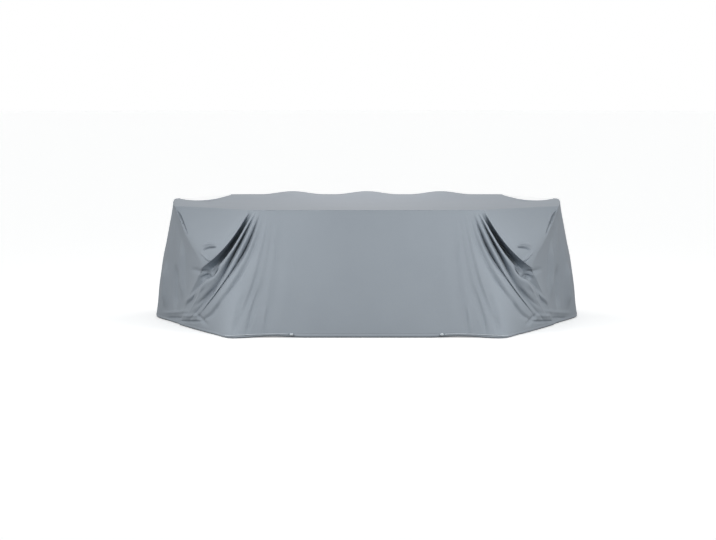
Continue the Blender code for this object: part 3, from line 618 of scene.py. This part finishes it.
def waves(points):
    """Low unevenness of slack cloth, the same on both sides of the front."""
    out = np.zeros(points.shape[:2])
    for i, k in np.ndindex(out.shape):
        for scale, shift, height in SLACK_WAVES:
            out[i, k] += height * noise.noise(Vector(points[i, k] * scale + shift))
    return out


def relief(points):
    """How far the creases and the slack cloth's unevenness stand out of a wall."""
    x, y, z = np.moveaxis(points, 2, 0)
    depth = soft_step((FRONT_CREASES_TO - y) / CREASES_BLEND) * crease_depth(x, z, FRONT_CREASES)
    depth += soft_step((x - END_CREASES_FROM) / CREASES_BLEND) * crease_depth(y, z, END_CREASES)
    depth += soft_step((y - BACK_CREASES_FROM) / CREASES_BLEND) * crease_depth(x, z, BACK_CREASES)
    return waves(points) - depth


def as_array(rows):
    return np.array([[tuple(p) for p in row] for row in rows])


def as_vectors(rows):
    return [[Vector(p) for p in row] for row in rows]


def as_grid(columns, outward_side):
    """The columns as an array of points, with the directions that face away from the cover."""
    points = as_array(columns)
    outs = grid_normals(points)
    if np.dot(outs[len(columns) // 2, SAMPLE_ROW], outward_side) < 0.0:
        outs = -outs
    return points, outs


def seam_fade(count, at_end):
    """0 on a flap's seam and on the top edge, so that the panels stay joined, and 1 away from them."""
    rows = np.arange(HEM_EDGE + 1)
    below_tip = np.clip((rows - TIP_ROW) / FADE_STEPS, 0.0, 1.0)
    places = np.arange(count)
    if at_end:
        places = np.minimum(places, places[::-1])
    inside = np.clip(places / FADE_STEPS, 0.0, 1.0)
    fade = 1.0 - (1.0 - inside[:, None]) * (1.0 - below_tip[None, :])
    return fade * np.clip(rows / FADE_STEPS, 0.0, 1.0)[None, :]


def share_normals(first_outs, second_outs):
    """Makes two walls face the same way where they meet below a flap's tip."""
    shared = first_outs[TIP_ROW:] + second_outs[TIP_ROW:]
    first_outs[TIP_ROW:] = shared / np.linalg.norm(shared, axis=1, keepdims=True)
    second_outs[TIP_ROW:] = first_outs[TIP_ROW:]


# ---------------- meshes
def add_piece(name, shape, finish, smooth_angle=60.0):
    """A piece made of a shape; edges that turn further than smooth_angle, in degrees, stay sharp."""
    mesh = bpy.data.meshes.new(name)
    shape.to_mesh(mesh)
    shape.free()
    mesh.materials.append(finish)
    mesh.shade_smooth()
    if smooth_angle < 180.0:
        mesh.set_sharp_from_angle(angle=math.radians(smooth_angle))
    thing = bpy.data.objects.new(name, mesh)
    bpy.context.scene.collection.objects.link(thing)
    return thing


def lay_flat(face, uv, spots):
    """Gives a face's corners their places on the flat cloth."""
    for loop, spot in zip(face.loops, spots):
        loop[uv].uv = spot


def ring_sheet(points, uvs, splits):
    """A sheet over a ring of columns; nothing joins the columns in splits to the next ones."""
    sheet = bmesh.new()
    uv = sheet.loops.layers.uv.new("cloth")
    columns = [[sheet.verts.new(p) for p in column] for column in points]
    for i, (near, far) in enumerate(zip(columns, columns[1:] + columns[:1])):
        if i in splits:
            continue
        for k in range(len(near) - 1):
            face = sheet.faces.new((near[k], near[k + 1], far[k + 1], far[k]))
            lay_flat(face, uv, (uvs[i, k], uvs[i, k + 1], uvs[i + 1, k + 1], uvs[i + 1, k]))
    bmesh.ops.remove_doubles(sheet, verts=sheet.verts, dist=MERGE)
    return sheet


def mirrored(points):
    other = points[::-1].copy()
    other[:, :, 0] *= -1.0
    return other


def hoop(solid, place, side, up, sides, radii):
    """A ring of corners round a place; radii gives (wide, high) at an angle."""
    corners = []
    for k in range(sides):
        angle = 2.0 * math.pi * k / sides
        wide, high = radii(angle)
        offset = side * (wide * math.cos(angle)) + up * (high * math.sin(angle))
        corners.append(solid.verts.new(place + offset))
    return corners


def skin(solid, hoops, closed=False, uv=None, pitch=0.0):
    """Joins hoops with faces and caps an open row of them. The UV map runs round and along it."""
    sides = len(hoops[0])
    for i, (hoop_a, hoop_b) in enumerate(zip(hoops, hoops[1:] + hoops[:1] if closed else hoops[1:])):
        for k in range(sides):
            n = (k + 1) % sides
            face = solid.faces.new((hoop_a[k], hoop_b[k], hoop_b[n], hoop_a[n]))
            if uv:
                spots = ((k, i), (k, i + 1), (k + 1, i + 1), (k + 1, i))
                lay_flat(face, uv, [(a / sides, s * pitch) for a, s in spots])
    if not closed:
        solid.faces.new(hoops[0][::-1])
        solid.faces.new(hoops[-1])


def tube(solid, path, ups, wide, high, sides, closed=False):
    """Adds a tube along the path, its high side toward the direction at each point."""
    count = len(path)
    hoops = []
    for i, (place, up) in enumerate(zip(path, ups)):
        before = path[i - 1] if closed or i else place
        after = path[(i + 1) % count] if closed or i < count - 1 else place
        along = (after - before).normalized()
        side = along.cross(up).normalized()
        rise = side.cross(along).normalized()
        hoops.append(hoop(solid, place, side, rise, sides, lambda _: (wide, high)))
    skin(solid, hoops, closed)


def resampled(path, ups, pitch):
    """Points every pitch along a path, with the surface's outward direction at each."""
    lengths = lengths_along(path)
    places, outs = [], []
    k = 0
    for n in range(int(lengths[-1] / pitch) + 1):
        s = n * pitch
        while k < len(path) - 2 and lengths[k + 1] < s:
            k += 1
        share = (s - lengths[k]) / max(lengths[k + 1] - lengths[k], 1e-9)
        places.append(path[k].lerp(path[k + 1], share))
        outs.append(ups[k].lerp(ups[k + 1], share).normalized())
    return places, outs


def stitch_row(name, path, ups, thread):
    """A closed row of thread stitches that lie on the cloth along a path."""
    solid = bmesh.new()
    fine = STITCH_LONG / STITCH_PARTS
    places, outs = resampled(path + path[:1], ups + ups[:1], fine)
    for start in range(0, len(places) - STITCH_PARTS - 1, round(STITCH_PITCH / fine)):
        bed = []
        for k in range(STITCH_PARTS + 1):
            height = STITCH_THICK * (STITCH_RISE * math.sin(math.pi * k / STITCH_PARTS) - STITCH_SUNK)
            bed.append(places[start + k] + outs[start + k] * height)
        tube(solid, bed, outs[start:], STITCH_THICK, STITCH_THICK * STITCH_FLATNESS, STITCH_SIDES)
    return add_piece(name, solid, thread)


# ---------------- finishes
def arithmetic(operation, reflected=False):
    """A method of Term that adds a Math node."""

    def method(self, other):
        return self.math(operation, other, self) if reflected else self.math(operation, self, other)

    return method


class Term:
    """A value in a finish. Arithmetic on it adds Math nodes."""

    def __init__(self, finish, socket):
        self.finish, self.socket = finish, socket

    def math(self, operation, *values):
        return self.finish.add("ShaderNodeMath", {"operation": operation}, dict(enumerate(values)))

    __add__, __radd__ = arithmetic("ADD"), arithmetic("ADD", reflected=True)
    __sub__, __rsub__ = arithmetic("SUBTRACT"), arithmetic("SUBTRACT", reflected=True)
    __mul__, __rmul__ = arithmetic("MULTIPLY"), arithmetic("MULTIPLY", reflected=True)

    def sine(self):
        return self.math("SINE", self)

    def clamped(self):
        return self.finish.add("ShaderNodeClamp", {}, {0: self})


class Finish:
    """A material whose nodes are written as expressions."""

    def __init__(self, name, **constants):
        self.material = bpy.data.materials.new(name)
        self.material.use_nodes = True
        self.tree = self.material.node_tree
        self.shader = self.tree.nodes["Principled BSDF"]
        for socket, value in constants.items():
            self.shader.inputs[socket.replace("_", " ")].default_value = value

    def add(self, kind, settings, inputs, output=0):
        """A node's output: its type, its settings, the values or links of its sockets."""
        node = self.tree.nodes.new(kind)
        for key, value in settings.items():
            setattr(node, key, value)
        for key, value in inputs.items():
            self.feed(node.inputs[key], value)
        return Term(self, node.outputs[output])

    def feed(self, socket, value):
        if isinstance(value, Term):
            self.tree.links.new(value.socket, socket)
        else:
            socket.default_value = value

    def set(self, name, value):
        self.feed(self.shader.inputs[name], value)

    def flat_place(self):
        """(across, along) on the flat cloth, in metres."""
        spot = self.add("ShaderNodeUVMap", {"uv_map": "cloth"}, {})
        return [self.add("ShaderNodeSeparateXYZ", {}, {0: spot}, output=k) for k in (0, 1)]

    def place(self):
        return self.add("ShaderNodeTexCoord", {}, {}, output="Object")

    def noise(self, where, scale, detail=2.0, rough=0.5):
        inputs = {"Vector": where, "Scale": scale, "Detail": detail, "Roughness": rough}
        return self.add("ShaderNodeTexNoise", {}, inputs)

    def colour(self, factor, first, second):
        inputs = {0: factor, 6: (*first, 1), 7: (*second, 1)}
        self.set("Base Color", self.add("ShaderNodeMix", {"data_type": "RGBA"}, inputs, output=2))

    def surface(self, rough, height):
        """Sets the roughness, and the height of the relief in metres."""
        self.set("Roughness", rough)
        inputs = {"Strength": 1.0, "Distance": 1.0, "Height": height}
        self.set("Normal", self.add("ShaderNodeBump", {}, inputs))
        return self.material


def cloth_finish():
    """Coated polyester: a fine plain weave under a matt coat, faintly cloudy."""
    finish = Finish("coated_woven_cloth", Metallic=0.0, Specular_IOR_Level=0.32, Sheen_Weight=0.05,
                    Sheen_Roughness=0.5)
    across, along = finish.flat_place()
    turn = 2.0 * math.pi / WEAVE_PITCH
    weave = (across * turn).sine() * (along * turn).sine()
    where = finish.place()
    clouds = finish.noise(where, 2.6, 3.0, 0.55)
    slubs = finish.noise(where, 140.0, 2.0, 0.6)
    crinkle = finish.noise(where, 26.0, 3.0, 0.5)
    tone = (0.5 + (clouds - 0.5) * 0.9 + (slubs - 0.5) * 0.5 + weave * 0.12).clamped()
    finish.colour(tone, (0.305, 0.345, 0.390), (0.345, 0.388, 0.432))
    rough = 0.70 + (clouds - 0.5) * 0.12 + weave * 0.03
    return finish.surface(rough, weave * 0.00006 + crinkle * 0.00045 + slubs * 0.00006)


def thread_finish():
    finish = Finish("stitching_thread", Metallic=0.0, Specular_IOR_Level=0.4)
    twist = finish.noise(finish.place(), 900.0, 2.0, 0.6)
    finish.colour(twist, (0.30, 0.32, 0.345), (0.42, 0.44, 0.47))
    return finish.surface(0.55 + twist * 0.2, twist * 0.0001)


def cord_finish():
    """Braided polyester cord; the braid's strands are in the mesh and its fibres here."""
    finish = Finish("braided_cord", Metallic=0.0, Specular_IOR_Level=0.35, Sheen_Weight=0.15)
    around, along = finish.flat_place()
    run, slant = along * 5200.0, around * 60.0
    fibres = ((run + slant).sine() + (run - slant).sine()) * 0.25 + 0.5
    wear = finish.noise(finish.place(), 60.0, 3.0, 0.6)
    finish.colour((fibres * 0.45 + wear * 0.6).clamped(), (0.42, 0.47, 0.52), (0.66, 0.71, 0.75))
    return finish.surface(0.62 + wear * 0.2, fibres * 0.00012)


def plastic_finish():
    """Moulded stop: satin plastic with a fine moulded grain."""
    finish = Finish("stop_plastic_satin", Metallic=0.0, Specular_IOR_Level=0.5)
    where = finish.place()
    grain = finish.noise(where, 1400.0, 2.0, 0.5)
    scuffs = finish.noise(where, 120.0, 4.0, 0.65)
    finish.colour(scuffs, (0.60, 0.65, 0.69), (0.70, 0.745, 0.78))
    return finish.surface(0.34 + scuffs * 0.2, grain * 0.00004)


def floor_finish():
    finish = Finish("pale_floor", Metallic=0.0, Specular_IOR_Level=0.0, Roughness=0.9,
                    Emission_Color=(1, 1, 1, 1), Emission_Strength=FLOOR_GLOW)
    finish.colour(finish.noise(finish.place(), 9.0, 2.0, 0.5), (0.89, 0.90, 0.90), (0.91, 0.92, 0.92))
    return finish.material


# ---------------- camera, then the cords
def make_camera():
    data = bpy.data.cameras.new("camera")
    data.lens = CAMERA_LENS
    data.sensor_width = 36.0
    data.shift_x = -(MIDDLE_PIXEL - PICTURE_WIDTH / 2) / PICTURE_WIDTH
    data.clip_end = 200.0
    camera = bpy.data.objects.new("camera", data)
    camera.location = CAMERA_PLACE
    camera.rotation_euler = (math.radians(90.0 - CAMERA_DIP), 0.0, 0.0)
    bpy.context.scene.collection.objects.link(camera)
    bpy.context.scene.camera = camera


def off_the_hem(x, z, distance):
    """A point a distance in front of the cloth of the front hem, square to it."""
    run = 0.01
    slope = (front_wall(x + run, z) - front_wall(x - run, z)) / (2 * run)
    return Vector((x, front_wall(x, z), z)) + Vector((slope, -1.0, 0.0)).normalized() * distance


def hem_cord(label, side, finish):
    """The stretch of braided drawcord that shows along the hem, its centreline and its length."""
    guide = [off_the_hem(x, z, CORD_DIAMETER / 2 + CORD_CLEARANCE) for x, z in CORD_ROUTE]
    guide = [Vector((side * p.x, p.y, p.z)) for p in guide]
    length = lengths_along(guide)[-1]
    count = round(length / CORD_RING)
    path = [spline(guide, i / count) for i in range(count + 1)]
    solid = bmesh.new()
    uv = solid.loops.layers.uv.new("cloth")
    hoops = []
    for i, place in enumerate(path):
        along = (path[min(i + 1, count)] - path[max(i - 1, 0)]).normalized()
        out = along.cross(Vector((0.0, 0.0, 1.0))).normalized()
        turn = 2.0 * math.pi * i * CORD_RING / BRAID_PITCH * BRAID_STRANDS / 4

        def braid(angle, turn=turn):
            strand = BRAID_STRANDS * angle / 2
            crest = max(abs(math.sin(strand + turn)), abs(math.sin(strand - turn)))
            return [CORD_DIAMETER / 2 - BRAID_RELIEF * (1.0 - crest)] * 2

        hoops.append(hoop(solid, place, out, out.cross(along).normalized(), CORD_SIDES, braid))
    skin(solid, hoops, uv=uv, pitch=CORD_RING)
    bmesh.ops.recalc_face_normals(solid, faces=solid.faces)
    return add_piece(f"hem_cord_{label}", solid, finish), path, length


def barrel_stop(label, side, finish):
    """The barrel-shaped stop: a mouth for the cord, a waisted ribbed body and a domed push button."""
    solid = bmesh.new()
    hoops = []
    across, up = Vector((0.0, 1.0, 0.0)), Vector((0.0, 0.0, 1.0))
    for along, width in STOP_PROFILE:

        def fluted(angle, along=along, width=width):
            flute = FLUTE_DEPTH * (0.5 + 0.5 * math.cos(angle * FLUTES)) if abs(along) < FLUTED_TO else 0.0
            return [width * STOP_RADIUS * (1.0 - flute)] * 2

        place = Vector((-side * along * STOP_LENGTH, 0.0, 0.0))
        hoops.append(hoop(solid, place, across, up, STOP_SIDES, fluted))
    skin(solid, hoops)
    bmesh.ops.recalc_face_normals(solid, faces=solid.faces)
    thing = add_piece(f"barrel_stop_{label}", solid, finish, smooth_angle=35.0)
    place = off_the_hem(STOP_X - STOP_LENGTH / 2, STOP_Z, STOP_RADIUS + CORD_CLEARANCE)
    thing.location = (side * place.x, place.y, place.z)
    return thing


def dress_cords():
    cord, plastic = cord_finish(), plastic_finish()
    for label, side in (("left", -1.0), ("right", 1.0)):
        line, path, length = hem_cord(label, side, cord)
        stop = barrel_stop(label, side, plastic)
        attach(line, "root")
        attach(stop, "root")
        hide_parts(f"drawcord_{label}")
        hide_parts(f"cord_stop_{label}")
        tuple(path[0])


# ---------------- the cover
def laid_walls():
    """The front, end and back wall of one half: the points of each, and the directions that face out."""

    def seam(start, tip_line, slack, bulge=0.0):
        return lambda t: seam_point(start, tip_line, slack, bulge, t)

    front_corner = on_top(FRONT_POST_TOP[0], front_wall(FRONT_POST_TOP[0], TOP_Z))
    back_corner = on_top(BACK_POST_TOP[0], back_wall(BACK_POST_TOP[0], TOP_Z))
    front_seam = seam(front_corner, FRONT_TIP_LINE, WALL_SLACK, SEAM_BULGE)
    near_seam = seam(on_top(*END_POST_TOP), FRONT_TIP_LINE, END_SLACK)
    far_seam = seam(on_top(*FAR_POST_TOP), BACK_TIP_LINE, BACK_SLACK)
    back_seam = seam(back_corner, BACK_TIP_LINE, BACK_SLACK)
    front = as_grid(wall_columns(FRONT_FOLDS, front_wall, 1.0, front_seam), (0.3, -1.0, 0.0))
    ends = as_grid(end_columns(near_seam, far_seam), (1.0, 0.0, 0.0))
    back = as_grid(wall_columns(BACK_FOLDS, back_wall, -1.0, back_seam), (0.3, 1.0, 0.0))
    share_normals(ends[1][0], front[1][0])
    share_normals(ends[1][-1], back[1][0])
    for (points, outs), at_end in ((front, False), (ends, True), (back, False)):
        points += outs * (relief(points) * seam_fade(len(points), at_end))[:, :, None]
    return front, ends, back


def skirt_ring(walls):
    """The skirt's ring of columns, the directions that face out there, and the columns left unjoined.

    The ring runs from the middle of the back along an end to the middle of the front, and back along the
    mirrored half. A flap's two seams meet at its tip, so both are columns and nothing joins them above it.
    """
    front, ends, back = walls
    half, half_outs = [np.concatenate([back[i][::-1], ends[i][::-1], front[i]]) for i in (0, 1)]
    half[0, :, 0] = half[-1, :, 0] = 0.0
    splits = [len(back[0]) - 1, len(back[0]) + len(ends[0]) - 1]
    splits += [2 * len(half) - 3 - i for i in splits]
    ring, outs = [np.concatenate([side, mirrored(side)[1:-1]]) for side in (half, half_outs)]
    return ring, outs, splits


def shaped_hem(ring, outs):
    """Makes the hem band stand out a little and turn under behind its edge; outs are level."""
    for k, level in enumerate(HEM_LEVELS):
        ring[:, HEM_ROW + 1 + k] += outs * hem_relief(level)
    turned = []
    for inward, up in HEM_TURN:
        place = ring[:, HEM_EDGE] - outs * inward
        place[:, 2] = ring[:, HEM_EDGE, 2] + up
        turned.append(place)
    ring = np.concatenate([ring, np.stack(turned, axis=1)], axis=1)
    ring[:, :, 2] = np.maximum(ring[:, :, 2], 0.0)
    return ring


def dress_skirt(walls, cloth):
    """The skirt, and the lines of points along which it is stitched, with their outward directions."""
    ring, outs, splits = skirt_ring(walls)
    level_outs = outs[:, HEM_ROW] * (1.0, 1.0, 0.0)
    level_outs /= np.linalg.norm(level_outs, axis=1, keepdims=True)
    ring = shaped_hem(ring, level_outs)
    steps = np.linalg.norm(np.diff(ring, axis=1), axis=2)
    downs = np.concatenate([np.zeros((len(ring), 1)), np.cumsum(steps, axis=1)], axis=1)
    gaps = np.linalg.norm(np.diff(np.concatenate([ring, ring[:1]]), axis=0), axis=2)
    around = np.concatenate([[0.0], np.cumsum(gaps[:, TIP_ROW:HEM_EDGE].mean(axis=1))])
    uvs = np.stack([np.repeat(around[:, None], ring.shape[1], axis=1),
                    -np.concatenate([downs, downs[:1]])], axis=2)
    skirt = add_piece("cover_skirt", ring_sheet(ring, uvs, splits), cloth, 180.0)

    below_seam, seam_outs = [], []
    for i, down in enumerate(downs):
        row = np.searchsorted(down, TOP_STITCH_DROP)
        s = (TOP_STITCH_DROP - down[row - 1]) / (down[row] - down[row - 1])
        below_seam.append(Vector(lerp(ring[i, row - 1], ring[i, row], s)))
        seam_outs.append(Vector(outs[i, row]))
    on_hem = [Vector(p) for p in ring[:, HEM_ROW + 1 + HEM_LEVELS.index(HEM_BAND)]]
    hem_outs = [Vector(p) for p in level_outs]
    return skirt, (below_seam, seam_outs), (on_hem, hem_outs)


def laid_flap(side_seam, wall_seam, lean, inset, sag, crease, creases):
    """A flap's grid of points from its crest down, and their places on the flat cloth."""
    grid = as_array(flap_rows(side_seam, wall_seam, inset, sag, crease))
    normals = grid_normals(grid)
    if normals[SAMPLE_ROW, SAMPLE_COLUMN, 0] < 0.0:
        normals = -normals
    rows, count = np.arange(grid.shape[0])[:, None], np.arange(grid.shape[1])
    fade = np.clip(np.minimum(count, count[::-1]) / FLAP_FADE, 0.0, 1.0)
    fade = fade * np.clip(np.minimum(rows, len(rows) - rows) / FLAP_FADE, 0.0, 1.0)
    push = (waves(grid) - crease_depth(grid[:, :, 0], grid[:, :, 2], creases)) * fade
    grid += normals * push[:, :, None]
    steps = np.linalg.norm(np.diff(grid, axis=0), axis=2)
    down = np.concatenate([np.zeros((1, len(count))), np.cumsum(steps, axis=0)])
    outward = np.array(Vector((1.0, lean)).normalized())
    spots = grid[0][None, :, :2] + down[:, :, None] * outward
    tips = (spots[-1, :-1] + spots[-1, 1:]) / 2 + outward * FLAP_TIP_SPOT
    return as_vectors(grid), spots.tolist(), tips.tolist()


def cloth_face(panel, uv, places, spots):
    lay_flat(panel.faces.new([panel.verts.new(p) for p in places]), uv, spots)


def flap_faces(panel, uv, points, spots, tip, tips):
    """The faces of a flap and of its mirror image."""
    faces = []
    for r in range(len(points) - 1):
        for k in range(len(points[0]) - 1):
            corners = ((r, k), (r + 1, k), (r + 1, k + 1), (r, k + 1))
            faces.append(([points[i][j] for i, j in corners], [spots[i][j] for i, j in corners]))
    for k, tip_spot in enumerate(tips):
        faces.append(([points[-1][k], tip, points[-1][k + 1]], [spots[-1][k], tip_spot, spots[-1][k + 1]]))
    for places, flat in faces:
        cloth_face(panel, uv, places, flat)
        cloth_face(panel, uv, [flipped(p) for p in places[::-1]], [(-u, v) for u, v in flat[::-1]])


def level_part(panel, uv, outline):
    """The top panel's level part, inside the outline of its edges and of the flaps' crests."""
    nx, ny = round(LEVEL_X / TOP_GRID), round(LEVEL_Y / TOP_GRID)
    xs, ys = np.meshgrid(np.arange(-nx, nx + 1) * TOP_GRID, np.arange(-ny, ny + 1) * TOP_GRID)
    xs, ys = xs.ravel(), ys.ravel()
    inside = np.zeros(len(xs), bool)
    clear = np.ones(len(xs), bool)
    for a, b in zip(outline, outline[1:] + outline[:1]):
        clear &= line_gap(xs, ys, a, b)[0] >= GRID_CLEAR
        reach = a.x + (ys - a.y) / ((b.y - a.y) or 1e-12) * (b.x - a.x)
        inside ^= ((a.y > ys) != (b.y > ys)) & (xs < reach)
    points = list(outline)
    for x, y in zip(xs[inside & clear], ys[inside & clear]):
        edge = max(min(1.0, (LEVEL_Y - abs(y)) / LEVEL_EDGE, (LEVEL_X - abs(x)) / LEVEL_EDGE), 0.0)
        uneven = sum(height * noise.noise(Vector((x * scale, y * scale, level)))
                     for scale, level, height in TOP_WAVES)
        points.append(Vector((x, y, top_height(x, y) + edge * uneven)))
    edges = [(i, (i + 1) % len(outline)) for i in range(len(outline))]
    _, _, triangles, origin, _, _ = delaunay_2d_cdt([p.xy for p in points], edges, [], 1, 1e-7)
    for triangle in triangles:
        places = [points[origin[i][0]] for i in triangle]
        cloth_face(panel, uv, places, [(p.x, p.y) for p in places])


def dress_top(walls, cloth):
    """The top panel: two flaps a side, then the level part inside the outline."""
    front, ends, back = [as_vectors(points) for points, _ in walls]
    panel = bmesh.new()
    uv = panel.loops.layers.uv.new("cloth")
    crests = []
    for tip_line, seams, flap in (
        (FRONT_TIP_LINE, (ends[0], front[0]),
         (-FLAP_LEAN, CREST_INSET, CREST_SAG, CREASE_DEPTH, FLAP_CREASES)),
        (BACK_TIP_LINE, (ends[-1], back[0]), (FLAP_LEAN, BACK_CREST_INSET, BACK_CREST_SAG, 0.0, ())),
    ):
        points, spots, tips = laid_flap(*seams, *flap)
        flap_faces(panel, uv, points, spots, Vector(tip_line[0]), tips)
        crests.append(points[0])

    outline = [c[0] for c in reversed(front)] + crests[0][-2::-1] + [c[0] for c in ends[1:]]
    outline += crests[1][1:] + [c[0] for c in back[1:]]
    outline[0].x = outline[-1].x = 0.0
    outline += [flipped(p) for p in reversed(outline[1:-1])]
    level_part(panel, uv, outline)
    bmesh.ops.remove_doubles(panel, verts=panel.verts, dist=MERGE)
    bmesh.ops.recalc_face_normals(panel, faces=panel.faces)
    if max(panel.faces, key=lambda f: f.calc_center_median().z).normal.z < 0.0:
        bmesh.ops.reverse_faces(panel, faces=panel.faces)

    # The crests, where a flap leaves the level part, are rounded off
    crest_places = crests[0] + crests[1]
    near_crest = []
    for v in panel.verts:
        if not v.is_boundary and abs(v.co.x) > CRESTS_FROM_X and abs(v.co.y) > CRESTS_FROM_Y:
            spot = Vector((abs(v.co.x), v.co.y, v.co.z))
            if min((spot - p).length for p in crest_places) < CREST_ROUND:
                near_crest.append(v)
    for _ in range(CREST_PASSES):
        bmesh.ops.smooth_vert(panel, verts=near_crest, factor=0.5, use_axis_x=True, use_axis_y=True,
                              use_axis_z=True)
    return add_piece("cover_top", panel, cloth, 180.0)


def dress_seam(walls, cloth):
    """The raised seam all round the top panel."""
    (front, front_outs), (ends, end_outs), (back, back_outs) = walls
    line, outs = [], []
    for places, directions in (
        (front[::-1, 0], front_outs[::-1, 0]),
        (front[0, :TIP_ROW + 1], front_outs[0, :TIP_ROW + 1]),
        (ends[0, TIP_ROW::-1], end_outs[0, TIP_ROW::-1]),
        (ends[:, 0], end_outs[:, 0]),
        (ends[-1, :TIP_ROW + 1], end_outs[-1, :TIP_ROW + 1]),
        (back[0, TIP_ROW::-1], back_outs[0, TIP_ROW::-1]),
        (back[:, 0], back_outs[:, 0]),
    ):
        for place, out in zip(places, directions):
            if not line or (Vector(place) - line[-1]).length > SEAM_APART:
                line.append(Vector(place))
                outs.append((Vector(out) + Vector((0.0, 0.0, SEAM_UPWARD))).normalized())
    line[0].x = line[-1].x = 0.0
    line += [flipped(p) for p in reversed(line[1:-1])]
    outs += [flipped(p) for p in reversed(outs[1:-1])]
    solid = bmesh.new()
    tube(solid, line, outs, SEAM_WIDE, SEAM_HIGH, SEAM_SIDES, closed=True)
    bmesh.ops.recalc_face_normals(solid, faces=solid.faces)
    return add_piece("top_seam", solid, cloth)


def dress_cover():
    cloth, thread = cloth_finish(), thread_finish()
    walls = laid_walls()
    skirt, seam_line, hem_line = dress_skirt(walls, cloth)
    top = dress_top(walls, cloth)
    top_seam = dress_seam(walls, cloth)
    seam_stitches = stitch_row("seam_stitches", *seam_line, thread)
    hem_stitches = stitch_row("hem_stitches", *hem_line, thread)
    for piece in (top, skirt, top_seam, seam_stitches, hem_stitches):
        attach(piece, "root")
    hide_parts("top_panel")
    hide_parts("skirt")


# ---------------- studio
def add_light(name, kind, power, colour=(1.0, 1.0, 1.0)):
    data = bpy.data.lights.new(name, kind)
    data.energy = power
    data.color = colour
    lamp = bpy.data.objects.new(name, data)
    bpy.context.scene.collection.objects.link(lamp)
    return lamp


def add_sun(name, across, height, power, softness):
    """A soft distant light: degrees to the right of the camera's side, degrees above level."""
    lamp = add_light(name, "SUN", power)
    lamp.data.angle = math.radians(softness)
    lamp.rotation_euler = (math.radians(90.0 - height), 0.0, math.radians(across))


def add_lantern(name, place, radius, power, colour):
    """A round soft light near the cover."""
    lamp = add_light(name, "POINT", power, colour)
    lamp.data.shadow_soft_size = radius
    lamp.location = place
    lamp.visible_camera = False


def seen_only_by(thing, *kinds):
    for kind in ("camera", "diffuse", "glossy", "transmission", "shadow"):
        setattr(thing, f"visible_{kind}", kind in kinds)


def add_disc(name, finish, level):
    disc = bmesh.new()
    bmesh.ops.create_circle(disc, cap_ends=True, segments=64, radius=FLOOR_RADIUS)
    thing = add_piece(name, disc, finish)
    thing.location.z = level
    return thing


def make_studio():
    floor = add_disc("studio_floor", floor_finish(), FLOOR_LEVEL)
    seen_only_by(floor, "camera")
    reflector = Finish("floor_reflector", Base_Color=(FLOOR_BOUNCE, FLOOR_BOUNCE, FLOOR_BOUNCE, 1),
                       Specular_IOR_Level=0.0)
    bounce = add_disc("floor_reflector", reflector.material, REFLECTOR_LEVEL)
    seen_only_by(bounce, "diffuse", "glossy", "shadow")
    dome = bmesh.new()
    bmesh.ops.create_uvsphere(dome, u_segments=48, v_segments=24, radius=DOME_RADIUS)
    white = Finish("studio_white", Base_Color=(0, 0, 0, 1), Emission_Color=(1, 1, 1, 1),
                   Emission_Strength=1.0, Specular_IOR_Level=0.0)
    backdrop = add_piece("studio_dome", dome, white.material)
    seen_only_by(backdrop, "camera")
    for sun in SUNS:
        add_sun(*sun)
    for lantern in LANTERNS:
        add_lantern(*lantern)
    world = bpy.data.worlds.new("studio")
    bpy.context.scene.world = world
    world.use_nodes = True
    background = world.node_tree.nodes["Background"]
    background.inputs["Color"].default_value = (1.0, 1.0, 1.0, 1.0)
    background.inputs["Strength"].default_value = ROOM_LIGHT
    bpy.context.scene.view_settings.view_transform = "Standard"


make_camera()
dress_cords()
dress_cover()
make_studio()
